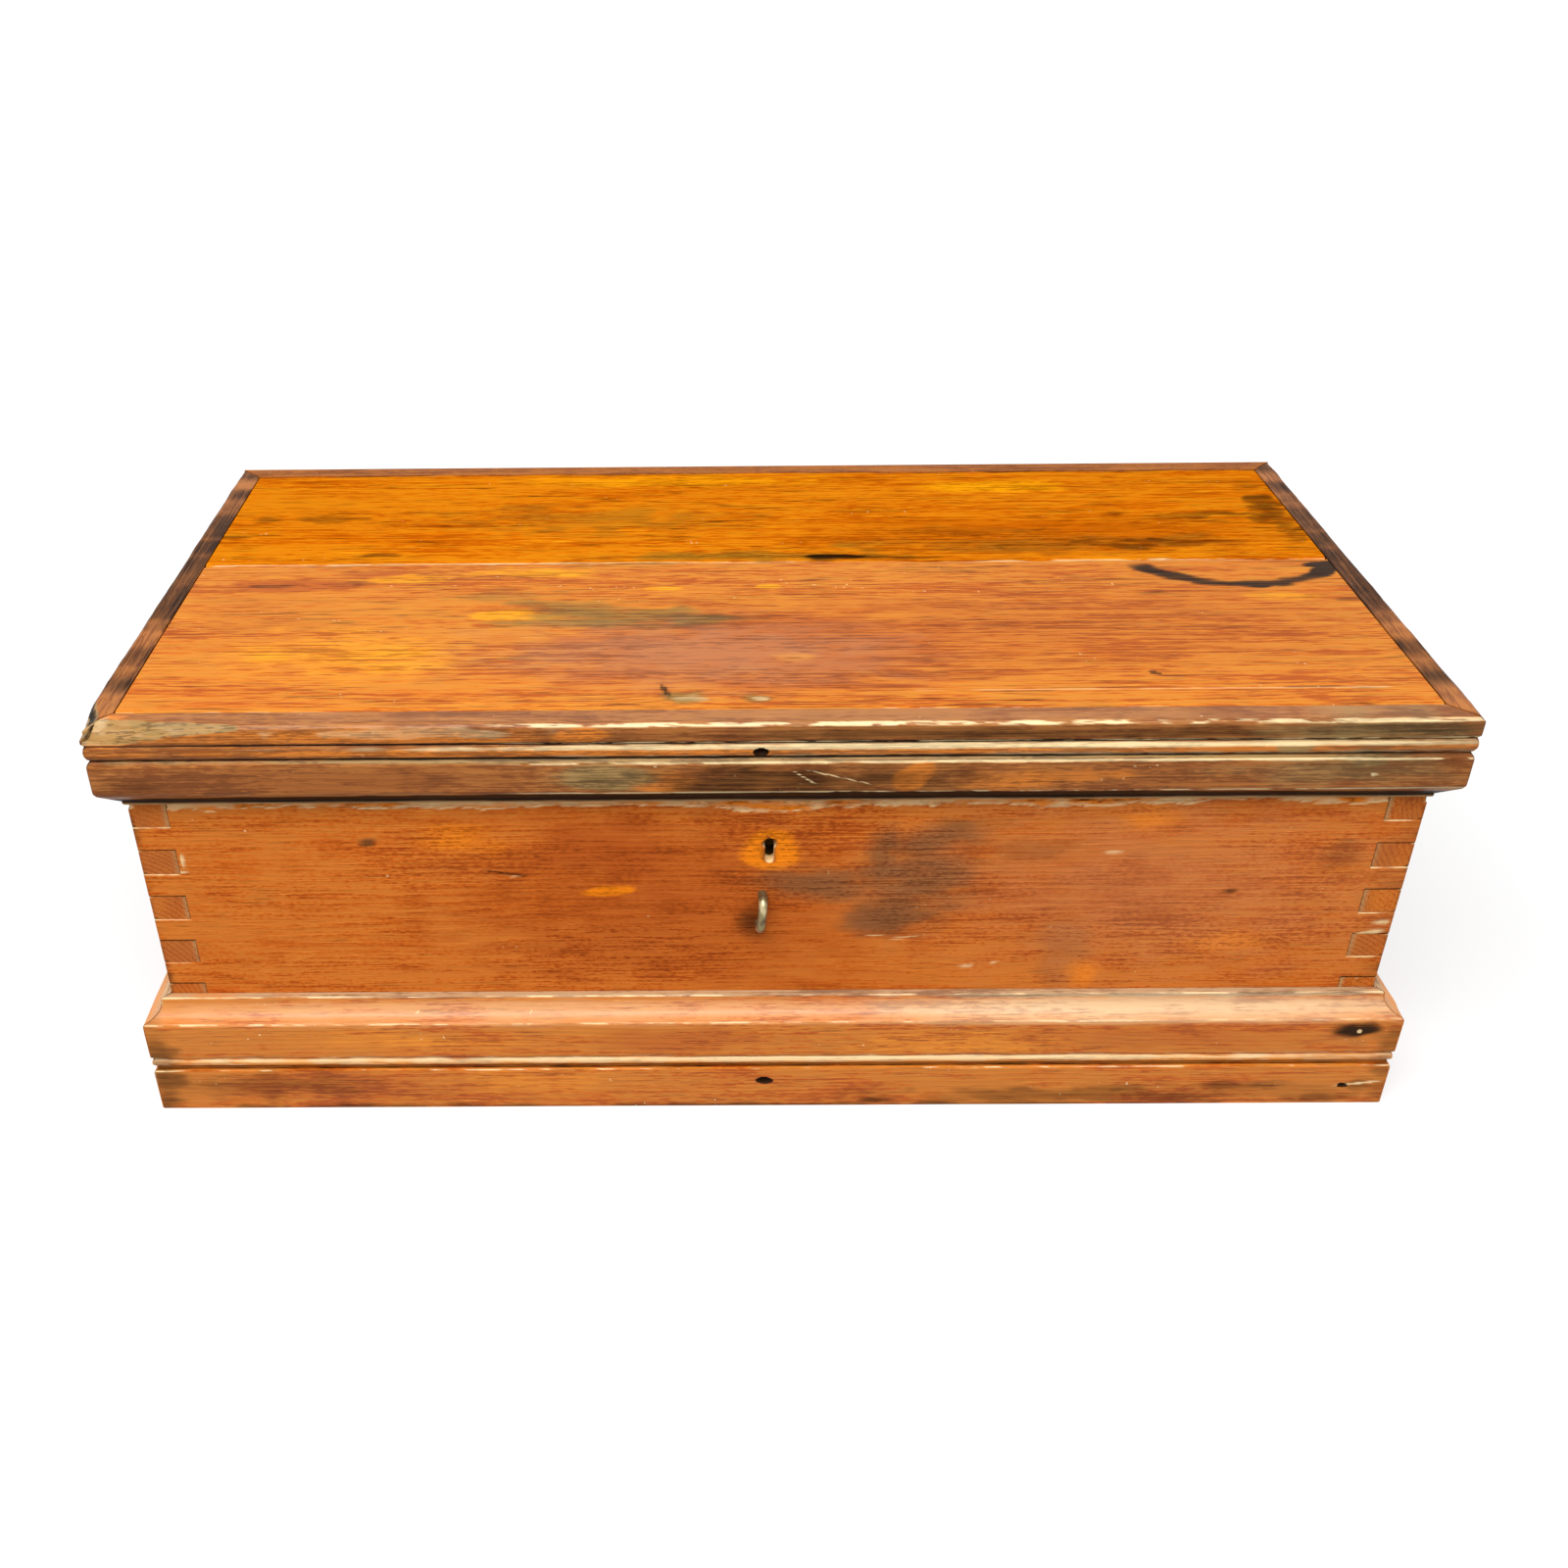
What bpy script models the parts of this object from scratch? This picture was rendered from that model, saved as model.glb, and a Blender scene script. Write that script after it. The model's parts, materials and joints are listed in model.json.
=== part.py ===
"""Joiner's tool chest: finger-jointed box on a moulded plinth, with hinged lid, lock, till and end handles.

Metres, +Z up, +Y to the back. The origin is on the ground under the middle of the box.
"""

import math

import bmesh
import bpy
from mathutils import Vector

# Clearances
FIT = 0.0003  # left between pieces that seat on each other
PLAY = 0.0008  # left round pieces that pass through or turn in each other
CUT_PAST = 0.004  # how far a cutter runs out of the face that it opens

# Box of four finger-jointed boards on a boarded bottom
BOX_LENGTH = 0.760
BOX_DEPTH = 0.366
WALL = 0.0225
WALL_HEIGHT = 0.204
FINGER_COUNT = 12
FLOOR_CLEARANCE = 0.004
BOTTOM_THICKNESS = 0.019
BOTTOM_BOARD_COUNT = 5
TONGUE_THICKNESS = 0.006
TONGUE_LENGTH = 0.006

# Plinth moulding, from its top: ledge, step, cove, fascia, bead, quirk, lower fascia
PLINTH_HEIGHT = 0.084
PLINTH_THICKNESS = 0.016
PLINTH_LEDGE = 0.005
PLINTH_STEP = 0.002
PLINTH_COVE = 0.011
PLINTH_FASCIA = 0.0284
PLINTH_BEAD = 0.0072
PLINTH_QUIRK = 0.0028

# Lid: two matched boards on rails, and a planted moulding with fascia, bead, fillet and chamfer
LID_OVERHANG = 0.0127
LID_HEIGHT = 0.0586
LID_BOARD_THICKNESS = 0.0195
LID_FRONT_BOARD_WIDTH = 0.198
RAIL_THICKNESS = 0.019
RIM_THICKNESS = 0.016
RIM_ARRIS = 0.002
RIM_FASCIA = 0.013
RIM_BEAD = 0.010
RIM_FILLET = 0.003
RIM_CHAMFER = 0.0105
RIM_STEP = 0.002
RIM_LEDGE = 0.005
BEAD_RELIEF = 0.0025  # how deep the quirks beside a bead are sunk

# Butt hinges on the back
HINGE_LENGTH = 0.064
HINGE_FROM_END = 0.120
HINGE_AXIS_OUT = 0.0025
HINGE_LEAF_THICKNESS = 0.0018
HINGE_LEAF_MARGIN = 0.005  # wood left between the leaf and the inside of the wall
HINGE_KNUCKLE_RADIUS = 0.004
HINGE_KNUCKLE_COUNT = 5
HINGE_PIN_RADIUS = 0.002

# Box lock let into the front, with a link plate on the lid
LOCK_X = -0.003
LOCK_LENGTH = 0.070
LOCK_HEIGHT = 0.050
LOCK_PLATE = 0.002
LOCK_CASE_LENGTH = 0.062
LOCK_CASE_DEPTH = 0.0112
LOCK_CASE_MARGIN = 0.002  # plate left below the case
LOCK_SHEET = 0.0015
KEYHOLE_DROP = 0.0316  # from the top of the wall to the key pin
KEYHOLE_RADIUS = 0.0041
KEYHOLE_SLOT = 0.0056
KEYHOLE_LEG = 0.0139
KEY_PIN_RADIUS = 0.00175
LINK_LENGTH = 0.060
LINK_SPACING = 0.026
LINK_DROP = 0.0165
LINK_THICKNESS = 0.003
LINK_BAR = 0.0015
LINK_FOOT = 0.0024
BOLT_HEIGHT = 0.0065
BOLT_POST = 0.0035
BOLT_TONGUE_HEIGHT = 0.0042
BOLT_THROW = 0.008

# Hasp staple on the front
STAPLE_X = -0.008
STAPLE_DROP = 0.079  # from the top of the wall to the middle of the staple
STAPLE_SPACING = 0.022
STAPLE_WIRE_RADIUS = 0.0025
STAPLE_REACH = 0.0100
STAPLE_BEND = 0.0065
STAPLE_BACKING = 0.004  # wood left behind the points of its legs

# Drop handles on the ends
HANDLE_DROP = 0.055  # from the top of the wall to the pivot
HANDLE_PLATE_LENGTH = 0.120
HANDLE_PLATE_HEIGHT = 0.034
HANDLE_PLATE_THICKNESS = 0.003
HANDLE_PLATE_CORNER = 0.010
EAR_SPACING = 0.094
EAR_WIDTH = 0.008
EAR_RADIUS = 0.0056
PIVOT_STANDOFF = 0.0065  # from the plate to the pivot
PIVOT_RADIUS = 0.0030
BAIL_RADIUS = 0.0045
BAIL_DROP = 0.044
BAIL_BEND = 0.014
BAIL_SHOULDER_BEND = 0.0065

# Sliding till on runners inside
RUNNER_WIDTH = 0.014
RUNNER_HEIGHT = 0.020
TILL_TOP_GAP = 0.016  # from the top of the wall down to the till
TILL_HEIGHT = 0.076
TILL_WIDTH = 0.150
TILL_BOARD = 0.010
TILL_BOTTOM = 0.007
TILL_PLAY = 0.0015
TILL_HOUSING = 0.003
TILL_DIVIDER_X = 0.080

# Smoothness of round forms
ARC_STEPS = 8
ARRIS_STEPS = 3
CORNER_STEPS = 4
ROUND_SIDES = 16
TUBE_RESOLUTION = 2

# Places that follow from the sizes above
HALF_LENGTH = BOX_LENGTH / 2
HALF_DEPTH = BOX_DEPTH / 2
INNER_HALF_LENGTH = HALF_LENGTH - WALL
INNER_HALF_DEPTH = HALF_DEPTH - WALL
FINGER_PITCH = WALL_HEIGHT / FINGER_COUNT
WALL_BOTTOM = FLOOR_CLEARANCE + BOTTOM_THICKNESS + FIT
WALL_TOP = WALL_BOTTOM + WALL_HEIGHT
LID_BOTTOM = WALL_TOP + FIT
LID_TOP = LID_BOTTOM + LID_HEIGHT
LID_HALF_LENGTH = HALF_LENGTH + LID_OVERHANG
LID_HALF_DEPTH = HALF_DEPTH + LID_OVERHANG
RAIL_HALF_LENGTH = LID_HALF_LENGTH - RIM_THICKNESS - FIT
RAIL_HALF_DEPTH = LID_HALF_DEPTH - RIM_THICKNESS - FIT
RAIL_TOP = LID_TOP - LID_BOARD_THICKNESS - FIT
HINGE_Y = HALF_DEPTH + HINGE_AXIS_OUT
HINGE_Z = (WALL_TOP + LID_BOTTOM) / 2
HINGE_LEAF_EDGE = INNER_HALF_DEPTH + HINGE_LEAF_MARGIN
LOCK_FACE = -INNER_HALF_DEPTH  # inside of the front wall
LOCK_SELVEDGE = LOCK_PLATE + FIT + LOCK_CASE_DEPTH
CASE_TOP = WALL_TOP - LOCK_PLATE - FIT
CASE_BOTTOM = WALL_TOP - LOCK_HEIGHT + LOCK_CASE_MARGIN
CASE_FRONT = LOCK_FACE - LOCK_SELVEDGE
CASE_BACK = LOCK_FACE - LOCK_PLATE - FIT
CASE_INSIDE = CASE_FRONT + LOCK_SHEET
LINK_Y = (CASE_INSIDE + LOCK_FACE - LOCK_PLATE) / 2
LINK_WIDTH = LOCK_FACE - LOCK_PLATE - CASE_INSIDE - 2 * PLAY
EYE_LOW = LID_BOTTOM - LINK_DROP + LINK_FOOT
KEY_Z = WALL_TOP - KEYHOLE_DROP
STAPLE_Z = WALL_TOP - STAPLE_DROP
HANDLE_Z = WALL_TOP - HANDLE_DROP
PLATE_FACE = HALF_LENGTH + FIT + HANDLE_PLATE_THICKNESS
PIVOT_X = PLATE_FACE + PIVOT_STANDOFF
TILL_FLOOR = WALL_TOP - TILL_TOP_GAP - TILL_HEIGHT
TILL_HALF_LENGTH = INNER_HALF_LENGTH - TILL_PLAY
TILL_BACK = INNER_HALF_DEPTH - TILL_PLAY
TILL_FRONT = TILL_BACK - TILL_WIDTH

# Finishes: colour, roughness, metallic
FINISHES = {
    "stained_pine": ((0.36, 0.13, 0.045), 0.50, 0.0),
    "lid_pine": ((0.44, 0.18, 0.055), 0.48, 0.0),
    "dark_moulding": ((0.20, 0.075, 0.032), 0.50, 0.0),
    "plinth_pine": ((0.33, 0.12, 0.045), 0.52, 0.0),
    "bare_pine": ((0.55, 0.36, 0.18), 0.65, 0.0),
    "wrought_iron": ((0.055, 0.050, 0.042), 0.55, 0.9),
    "lock_brass": ((0.42, 0.30, 0.12), 0.40, 1.0),
}

# Where an outline's two coordinates and the extrusion go, for each direction of extrusion
SWEEPS = {
    "X": lambda u, v, w: (w, u, v),
    "Y": lambda u, v, w: (u, w, v),
    "Z": lambda u, v, w: (u, v, w),
}


def clear_scene():
    """Removes every object that the file starts with."""
    for old in list(bpy.data.objects):
        bpy.data.objects.remove(old, do_unlink=True)


def finish_material(name):
    """The Principled material of a named finish, made once."""
    found = bpy.data.materials.get(name)
    if found:
        return found
    colour, roughness, metallic = FINISHES[name]
    made = bpy.data.materials.new(name)
    made.use_nodes = True
    shader = made.node_tree.nodes["Principled BSDF"]
    shader.inputs["Base Color"].default_value = (*colour, 1.0)
    shader.inputs["Roughness"].default_value = roughness
    shader.inputs["Metallic"].default_value = metallic
    return made


def pivot(name, place):
    """An empty that a moving group hangs from."""
    empty = bpy.data.objects.new(name, None)
    empty.location = place
    bpy.context.scene.collection.objects.link(empty)
    return empty


def piece(name, shape, finish, parent):
    """An object made from a shape in world space, with its own origin at the middle of its box."""
    bmesh.ops.recalc_face_normals(shape, faces=shape.faces)
    corners = [vertex.co for vertex in shape.verts]
    low = Vector(min(c[i] for c in corners) for i in range(3))
    high = Vector(max(c[i] for c in corners) for i in range(3))
    origin = (low + high) / 2
    bmesh.ops.translate(shape, verts=shape.verts, vec=-origin)
    mesh = bpy.data.meshes.new(name)
    shape.to_mesh(mesh)
    shape.free()
    made = bpy.data.objects.new(name, mesh)
    made.parent = parent
    made.location = origin - parent.location
    made.data.materials.append(finish_material(finish))
    bpy.context.scene.collection.objects.link(made)
    return made


def helper(name, shape, parent):
    """A hidden shape that cuts or adds to others."""
    made = piece(name, shape, "wrought_iron", parent)
    made.hide_render = True
    made.display_type = "WIRE"
    return made


def combine(target, tool, operation):
    """Adds a Boolean of the tool to the target."""
    modifier = target.modifiers.new(f"{operation.lower()}_{tool.name}", "BOOLEAN")
    modifier.operation = operation
    modifier.solver = "EXACT"
    modifier.object = tool


def shade_round(made):
    """Smooth shading with crisp edges left sharp."""
    made.data.shade_smooth()
    made.data.set_sharp_from_angle(angle=math.radians(35))


def prism(shape, outline, sweep, start, stop):
    """Adds a closed outline carried from start to stop along an axis."""
    place = SWEEPS[sweep]
    rings = [[shape.verts.new(place(u, v, w)) for u, v in outline] for w in (start, stop)]
    shape.faces.new(rings[0])
    shape.faces.new(list(reversed(rings[1])))
    for i in range(len(outline)):
        j = (i + 1) % len(outline)
        shape.faces.new((rings[0][i], rings[1][i], rings[1][j], rings[0][j]))
    return shape


def block(shape, low, high):
    """Adds a box between two corners."""
    outline = [(low[0], low[1]), (high[0], low[1]), (high[0], high[1]), (low[0], high[1])]
    return prism(shape, outline, "Z", low[2], high[2])


def arc(centre, radius_u, radius_v, start, stop, steps=ARC_STEPS):
    """Points of an elliptic arc, with angles in degrees."""
    angles = [math.radians(start + (stop - start) * i / steps) for i in range(steps + 1)]
    return [(centre[0] + radius_u * math.cos(a), centre[1] + radius_v * math.sin(a)) for a in angles]


def rod(shape, centre, radius, sweep, start, stop):
    """Adds a round bar along an axis."""
    outline = arc(centre, radius, radius, 0, 360 * (ROUND_SIDES - 1) / ROUND_SIDES, ROUND_SIDES - 1)
    return prism(shape, outline, sweep, start, stop)


def rounded_route(corners, bend_radii):
    """Points of a route whose inner corners are arcs of the given radii."""
    route = [corners[0]]
    for before, corner, after, radius in zip(corners, corners[1:], corners[2:], bend_radii):
        back = (before - corner).normalized()
        ahead = (after - corner).normalized()
        half_angle = back.angle(ahead) / 2
        centre = corner + (back + ahead).normalized() * (radius / math.sin(half_angle))
        first = corner + back * (radius / math.tan(half_angle)) - centre
        last = corner + ahead * (radius / math.tan(half_angle)) - centre
        route += [centre + radius * first.slerp(last, i / ARC_STEPS) for i in range(ARC_STEPS + 1)]
    return route + [corners[-1]]


def tube(name, route, radii, finish, parent, origin):
    """A bent round bar along a route, of the given radius at each point."""
    curve = bpy.data.curves.new(name, "CURVE")
    curve.dimensions = "3D"
    curve.bevel_depth = 1.0
    curve.bevel_resolution = TUBE_RESOLUTION
    curve.use_fill_caps = True
    spline = curve.splines.new("POLY")
    spline.points.add(len(route) - 1)
    for point, place, radius in zip(spline.points, route, radii):
        point.co = (*(place - origin), 1.0)
        point.radius = radius
    made = bpy.data.objects.new(name, curve)
    made.parent = parent
    made.location = origin - parent.location
    made.data.materials.append(finish_material(finish))
    bpy.context.scene.collection.objects.link(made)
    return made


def matched_outline(left, right, low, high, groove, tongue):
    """Section of a matched board, with a groove in its left edge or a tongue on its right one."""
    middle = (low + high) / 2
    half = TONGUE_THICKNESS / 2
    outline = [(left, low), (right, low)]
    if tongue:
        tip = right + TONGUE_LENGTH
        under, over = middle - half, middle + half
        outline += [(right, under), (tip, under), (tip, over), (right, over)]
    outline += [(right, high), (left, high)]
    if groove:
        root = left + TONGUE_LENGTH + FIT
        under, over = middle - half - FIT, middle + half + FIT
        outline += [(left, over), (root, over), (root, under), (left, under)]
    return outline


def finger_outline(tip, shoulder, owned):
    """A wall board seen from outside: at the levels it owns, counted from the top, it reaches the tip."""
    side = []
    for level in range(FINGER_COUNT):
        mine = (FINGER_COUNT - 1 - level) % 2 == owned
        reach = tip if mine else shoulder
        ease = FIT / 2 if mine else -FIT / 2
        low = WALL_BOTTOM + level * FINGER_PITCH + (ease if level else 0)
        high = WALL_BOTTOM + (level + 1) * FINGER_PITCH - (ease if level < FINGER_COUNT - 1 else 0)
        side += [(reach, low), (reach, high)]
    return side + [(-u, v) for u, v in reversed(side)]


def bead(top, low):
    """A sunk bead on a moulding's face: quirk, half round, back to the quirk's floor."""
    half = (top - low) / 2
    round_part = arc((BEAD_RELIEF, (top + low) / 2), BEAD_RELIEF, half, 90, 270)
    return [(0, top)] + round_part


def plinth_profile():
    """Section of the plinth as (distance in from its face, height)."""
    shoulder = PLINTH_THICKNESS - PLINTH_LEDGE
    cove_top = PLINTH_HEIGHT - PLINTH_STEP
    bead_top = cove_top - PLINTH_COVE - PLINTH_FASCIA
    bead_low = bead_top - PLINTH_BEAD
    quirk_low = bead_low - PLINTH_QUIRK
    outline = [(PLINTH_THICKNESS, PLINTH_HEIGHT), (shoulder, PLINTH_HEIGHT)]
    outline += arc((0, cove_top), shoulder, PLINTH_COVE, 0, -90)
    outline += bead(bead_top, bead_low)
    return outline + [(BEAD_RELIEF, quirk_low), (0, quirk_low), (0, 0), (PLINTH_THICKNESS, 0)]


def rim_top():
    """The eased top edge that all four lid mouldings share."""
    centre = (RIM_ARRIS, LID_TOP - RIM_ARRIS)
    return [(RIM_THICKNESS, LID_TOP)] + arc(centre, RIM_ARRIS, RIM_ARRIS, 90, 180, ARRIS_STEPS)


def rim_profile():
    """Section of the lid moulding: fascia, bead over a sloping fillet, lower fascia and chamfer."""
    shoulder = RIM_THICKNESS - RIM_LEDGE
    bead_top = LID_TOP - RIM_FASCIA
    bead_low = bead_top - RIM_BEAD
    chamfer_low = LID_BOTTOM + RIM_STEP
    outline = rim_top() + bead(bead_top, bead_low)
    outline += [(0, bead_low - RIM_FILLET), (0, chamfer_low + RIM_CHAMFER), (shoulder, chamfer_low)]
    return outline + [(shoulder, LID_BOTTOM), (RIM_THICKNESS, LID_BOTTOM)]


def plain_rim_profile():
    """Section of the rear rim, which has no moulding."""
    return rim_top() + [(0, LID_BOTTOM), (RIM_THICKNESS, LID_BOTTOM)]


def mitred_strip(name, profile, half_x, half_y, side, finish, parent):
    """One side of a frame with the given outer half sizes, its ends mitred to its neighbours."""
    shape = bmesh.new()
    rings = [[], []]
    for inset, height in profile:
        x, y = half_x - inset, half_y - inset
        ends = {
            "front": ((-x + FIT, -y), (x - FIT, -y)),
            "back": ((-x + FIT, y), (x - FIT, y)),
            "left": ((-x, -y + FIT), (-x, y - FIT)),
            "right": ((x, -y + FIT), (x, y - FIT)),
        }[side]
        for ring, end in zip(rings, ends):
            ring.append(shape.verts.new((*end, height)))
    shape.faces.new(rings[0])
    shape.faces.new(list(reversed(rings[1])))
    for i in range(len(profile)):
        j = (i + 1) % len(profile)
        shape.faces.new((rings[0][i], rings[1][i], rings[1][j], rings[0][j]))
    return piece(name, shape, finish, parent)


def build_walls(chest):
    """The four finger-jointed boards; the end boards own the top finger."""
    front_shape = finger_outline(HALF_LENGTH, INNER_HALF_LENGTH - FIT, 1)
    end_shape = finger_outline(HALF_DEPTH, INNER_HALF_DEPTH - FIT, 0)
    walls = {}
    for name, outline, sweep, outer, inner in (
        ("front_board", front_shape, "Y", -HALF_DEPTH, -INNER_HALF_DEPTH),
        ("back_board", front_shape, "Y", HALF_DEPTH, INNER_HALF_DEPTH),
        ("left_end_board", end_shape, "X", -HALF_LENGTH, -INNER_HALF_LENGTH),
        ("right_end_board", end_shape, "X", HALF_LENGTH, INNER_HALF_LENGTH),
    ):
        walls[name] = piece(name, prism(bmesh.new(), outline, sweep, outer, inner), "stained_pine", chest)
    return walls


def build_bottom(chest):
    """Matched boards from front to back under the walls."""
    pitch = BOX_LENGTH / BOTTOM_BOARD_COUNT
    high = FLOOR_CLEARANCE + BOTTOM_THICKNESS
    for i in range(BOTTOM_BOARD_COUNT):
        left = -HALF_LENGTH + i * pitch + (FIT if i else 0)
        right = -HALF_LENGTH + (i + 1) * pitch
        last = i == BOTTOM_BOARD_COUNT - 1
        outline = matched_outline(left, right, FLOOR_CLEARANCE, high, i > 0, not last)
        shape = prism(bmesh.new(), outline, "Y", -HALF_DEPTH, HALF_DEPTH)
        piece(f"bottom_board_{i + 1}", shape, "bare_pine", chest)


def build_plinth(chest):
    """The moulded skirt that the chest stands on."""
    half_x = HALF_LENGTH + FIT + PLINTH_THICKNESS
    half_y = HALF_DEPTH + FIT + PLINTH_THICKNESS
    for side in ("front", "left", "right", "back"):
        mitred_strip(f"plinth_{side}", plinth_profile(), half_x, half_y, side, "plinth_pine", chest)


def build_lid(lid):
    """Boards, rails and mouldings of the lid."""
    front, back = -RAIL_HALF_DEPTH, RAIL_HALF_DEPTH
    joint = front + LID_FRONT_BOARD_WIDTH
    low = LID_TOP - LID_BOARD_THICKNESS
    for name, left, right, groove, tongue in (
        ("lid_front_board", front, joint, False, True),
        ("lid_rear_board", joint + FIT, back, True, False),
    ):
        outline = matched_outline(left, right, low, LID_TOP, groove, tongue)
        piece(name, prism(bmesh.new(), outline, "X", -RAIL_HALF_LENGTH, RAIL_HALF_LENGTH), "lid_pine", lid)
    inner_x = RAIL_HALF_LENGTH - RAIL_THICKNESS
    inner_y = RAIL_HALF_DEPTH - RAIL_THICKNESS
    end_y = inner_y - FIT
    rails = {}
    for name, low_corner, high_corner in (
        ("lid_rail_front", (-RAIL_HALF_LENGTH, front), (RAIL_HALF_LENGTH, -inner_y)),
        ("lid_rail_back", (-RAIL_HALF_LENGTH, inner_y), (RAIL_HALF_LENGTH, back)),
        ("lid_rail_left", (-RAIL_HALF_LENGTH, -end_y), (-inner_x, end_y)),
        ("lid_rail_right", (inner_x, -end_y), (RAIL_HALF_LENGTH, end_y)),
    ):
        shape = block(bmesh.new(), (*low_corner, LID_BOTTOM), (*high_corner, RAIL_TOP))
        rails[name] = piece(name, shape, "bare_pine", lid)
    rims = {}
    for side in ("front", "left", "right", "back"):
        profile = plain_rim_profile() if side == "back" else rim_profile()
        name = f"lid_rim_{side}"
        rims[name] = mitred_strip(name, profile, LID_HALF_LENGTH, LID_HALF_DEPTH, side, "dark_moulding", lid)
    return rails | rims


def hinge_leaf(name, centre_x, low, high, parity, parent):
    """One leaf of a butt hinge: a plate with every other knuckle rolled on its edge."""
    start = centre_x - HINGE_LENGTH / 2
    pitch = HINGE_LENGTH / HINGE_KNUCKLE_COUNT
    edge = HINGE_Y - HINGE_KNUCKLE_RADIUS - PLAY
    outline = [(start, edge), (start, HINGE_LEAF_EDGE)]
    outline += [(start + HINGE_LENGTH, HINGE_LEAF_EDGE), (start + HINGE_LENGTH, edge)]
    knuckles = bmesh.new()
    for i in reversed(range(HINGE_KNUCKLE_COUNT)):
        if i % 2 != parity:
            continue
        left = start + i * pitch + FIT
        right = start + (i + 1) * pitch - FIT
        outline += [(right, edge), (right, HINGE_Y), (left, HINGE_Y), (left, edge)]
        rod(knuckles, (HINGE_Y, HINGE_Z), HINGE_KNUCKLE_RADIUS, "X", left, right)
    leaf = piece(name, prism(bmesh.new(), outline, "Z", low, high), "wrought_iron", parent)
    combine(leaf, helper(f"{name}_knuckles", knuckles, parent), "UNION")
    bore_start, bore_stop = start - CUT_PAST, start + HINGE_LENGTH + CUT_PAST
    bore = rod(bmesh.new(), (HINGE_Y, HINGE_Z), HINGE_PIN_RADIUS + FIT, "X", bore_start, bore_stop)
    combine(leaf, helper(f"{name}_bore", bore, parent), "DIFFERENCE")


def build_hinges(chest, lid, walls, lid_frame):
    """Two butt hinges, their pins, and the mortises that they lie in."""
    reach = HINGE_KNUCKLE_RADIUS + PLAY
    inner = HINGE_LEAF_EDGE - FIT
    case_floor = WALL_TOP - HINGE_LEAF_THICKNESS - FIT
    lid_roof = LID_BOTTOM + HINGE_LEAF_THICKNESS + FIT
    case_cut = [(inner, WALL_TOP + CUT_PAST), (inner, case_floor), (HINGE_Y - reach, case_floor)]
    case_cut += [(HINGE_Y - reach, HINGE_Z - reach), (HINGE_Y + reach, HINGE_Z - reach)]
    case_cut += [(HINGE_Y + reach, WALL_TOP + CUT_PAST)]
    lid_cut = [(inner, LID_BOTTOM - CUT_PAST), (inner, lid_roof), (HINGE_Y - reach, lid_roof)]
    lid_cut += [(HINGE_Y - reach, HINGE_Z + reach), (HINGE_Y + reach, HINGE_Z + reach)]
    lid_cut += [(HINGE_Y + reach, LID_BOTTOM - CUT_PAST)]
    for side, sign in (("left", -1), ("right", 1)):
        centre = sign * (HALF_LENGTH - HINGE_FROM_END)
        start = centre - HINGE_LENGTH / 2
        stop = start + HINGE_LENGTH
        hinge_leaf(f"hinge_{side}_case_leaf", centre, WALL_TOP - HINGE_LEAF_THICKNESS, WALL_TOP, 0, chest)
        hinge_leaf(f"hinge_{side}_lid_leaf", centre, LID_BOTTOM, LID_BOTTOM + HINGE_LEAF_THICKNESS, 1, lid)
        pin = rod(bmesh.new(), (HINGE_Y, HINGE_Z), HINGE_PIN_RADIUS, "X", start, stop)
        shade_round(piece(f"hinge_{side}_pin", pin, "wrought_iron", chest))
        case_mortise = prism(bmesh.new(), case_cut, "X", start - FIT, stop + FIT)
        lid_mortise = prism(bmesh.new(), lid_cut, "X", start - FIT, stop + FIT)
        combine(walls["back_board"], helper(f"hinge_{side}_case_mortise", case_mortise, chest), "DIFFERENCE")
        lid_tool = helper(f"hinge_{side}_lid_mortise", lid_mortise, lid)
        for name in ("lid_rail_back", "lid_rim_back"):
            combine(lid_frame[name], lid_tool, "DIFFERENCE")


def keyhole_outline():
    """A round head over a straight leg with a round foot."""
    half = KEYHOLE_SLOT / 2
    turn = math.degrees(math.asin(half / KEYHOLE_RADIUS))
    head = arc((LOCK_X, KEY_Z), KEYHOLE_RADIUS, KEYHOLE_RADIUS, -90 + turn, 270 - turn, 2 * ARC_STEPS)
    foot = arc((LOCK_X, KEY_Z - KEYHOLE_LEG + half), half, half, 180, 360)
    return head + foot


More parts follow.
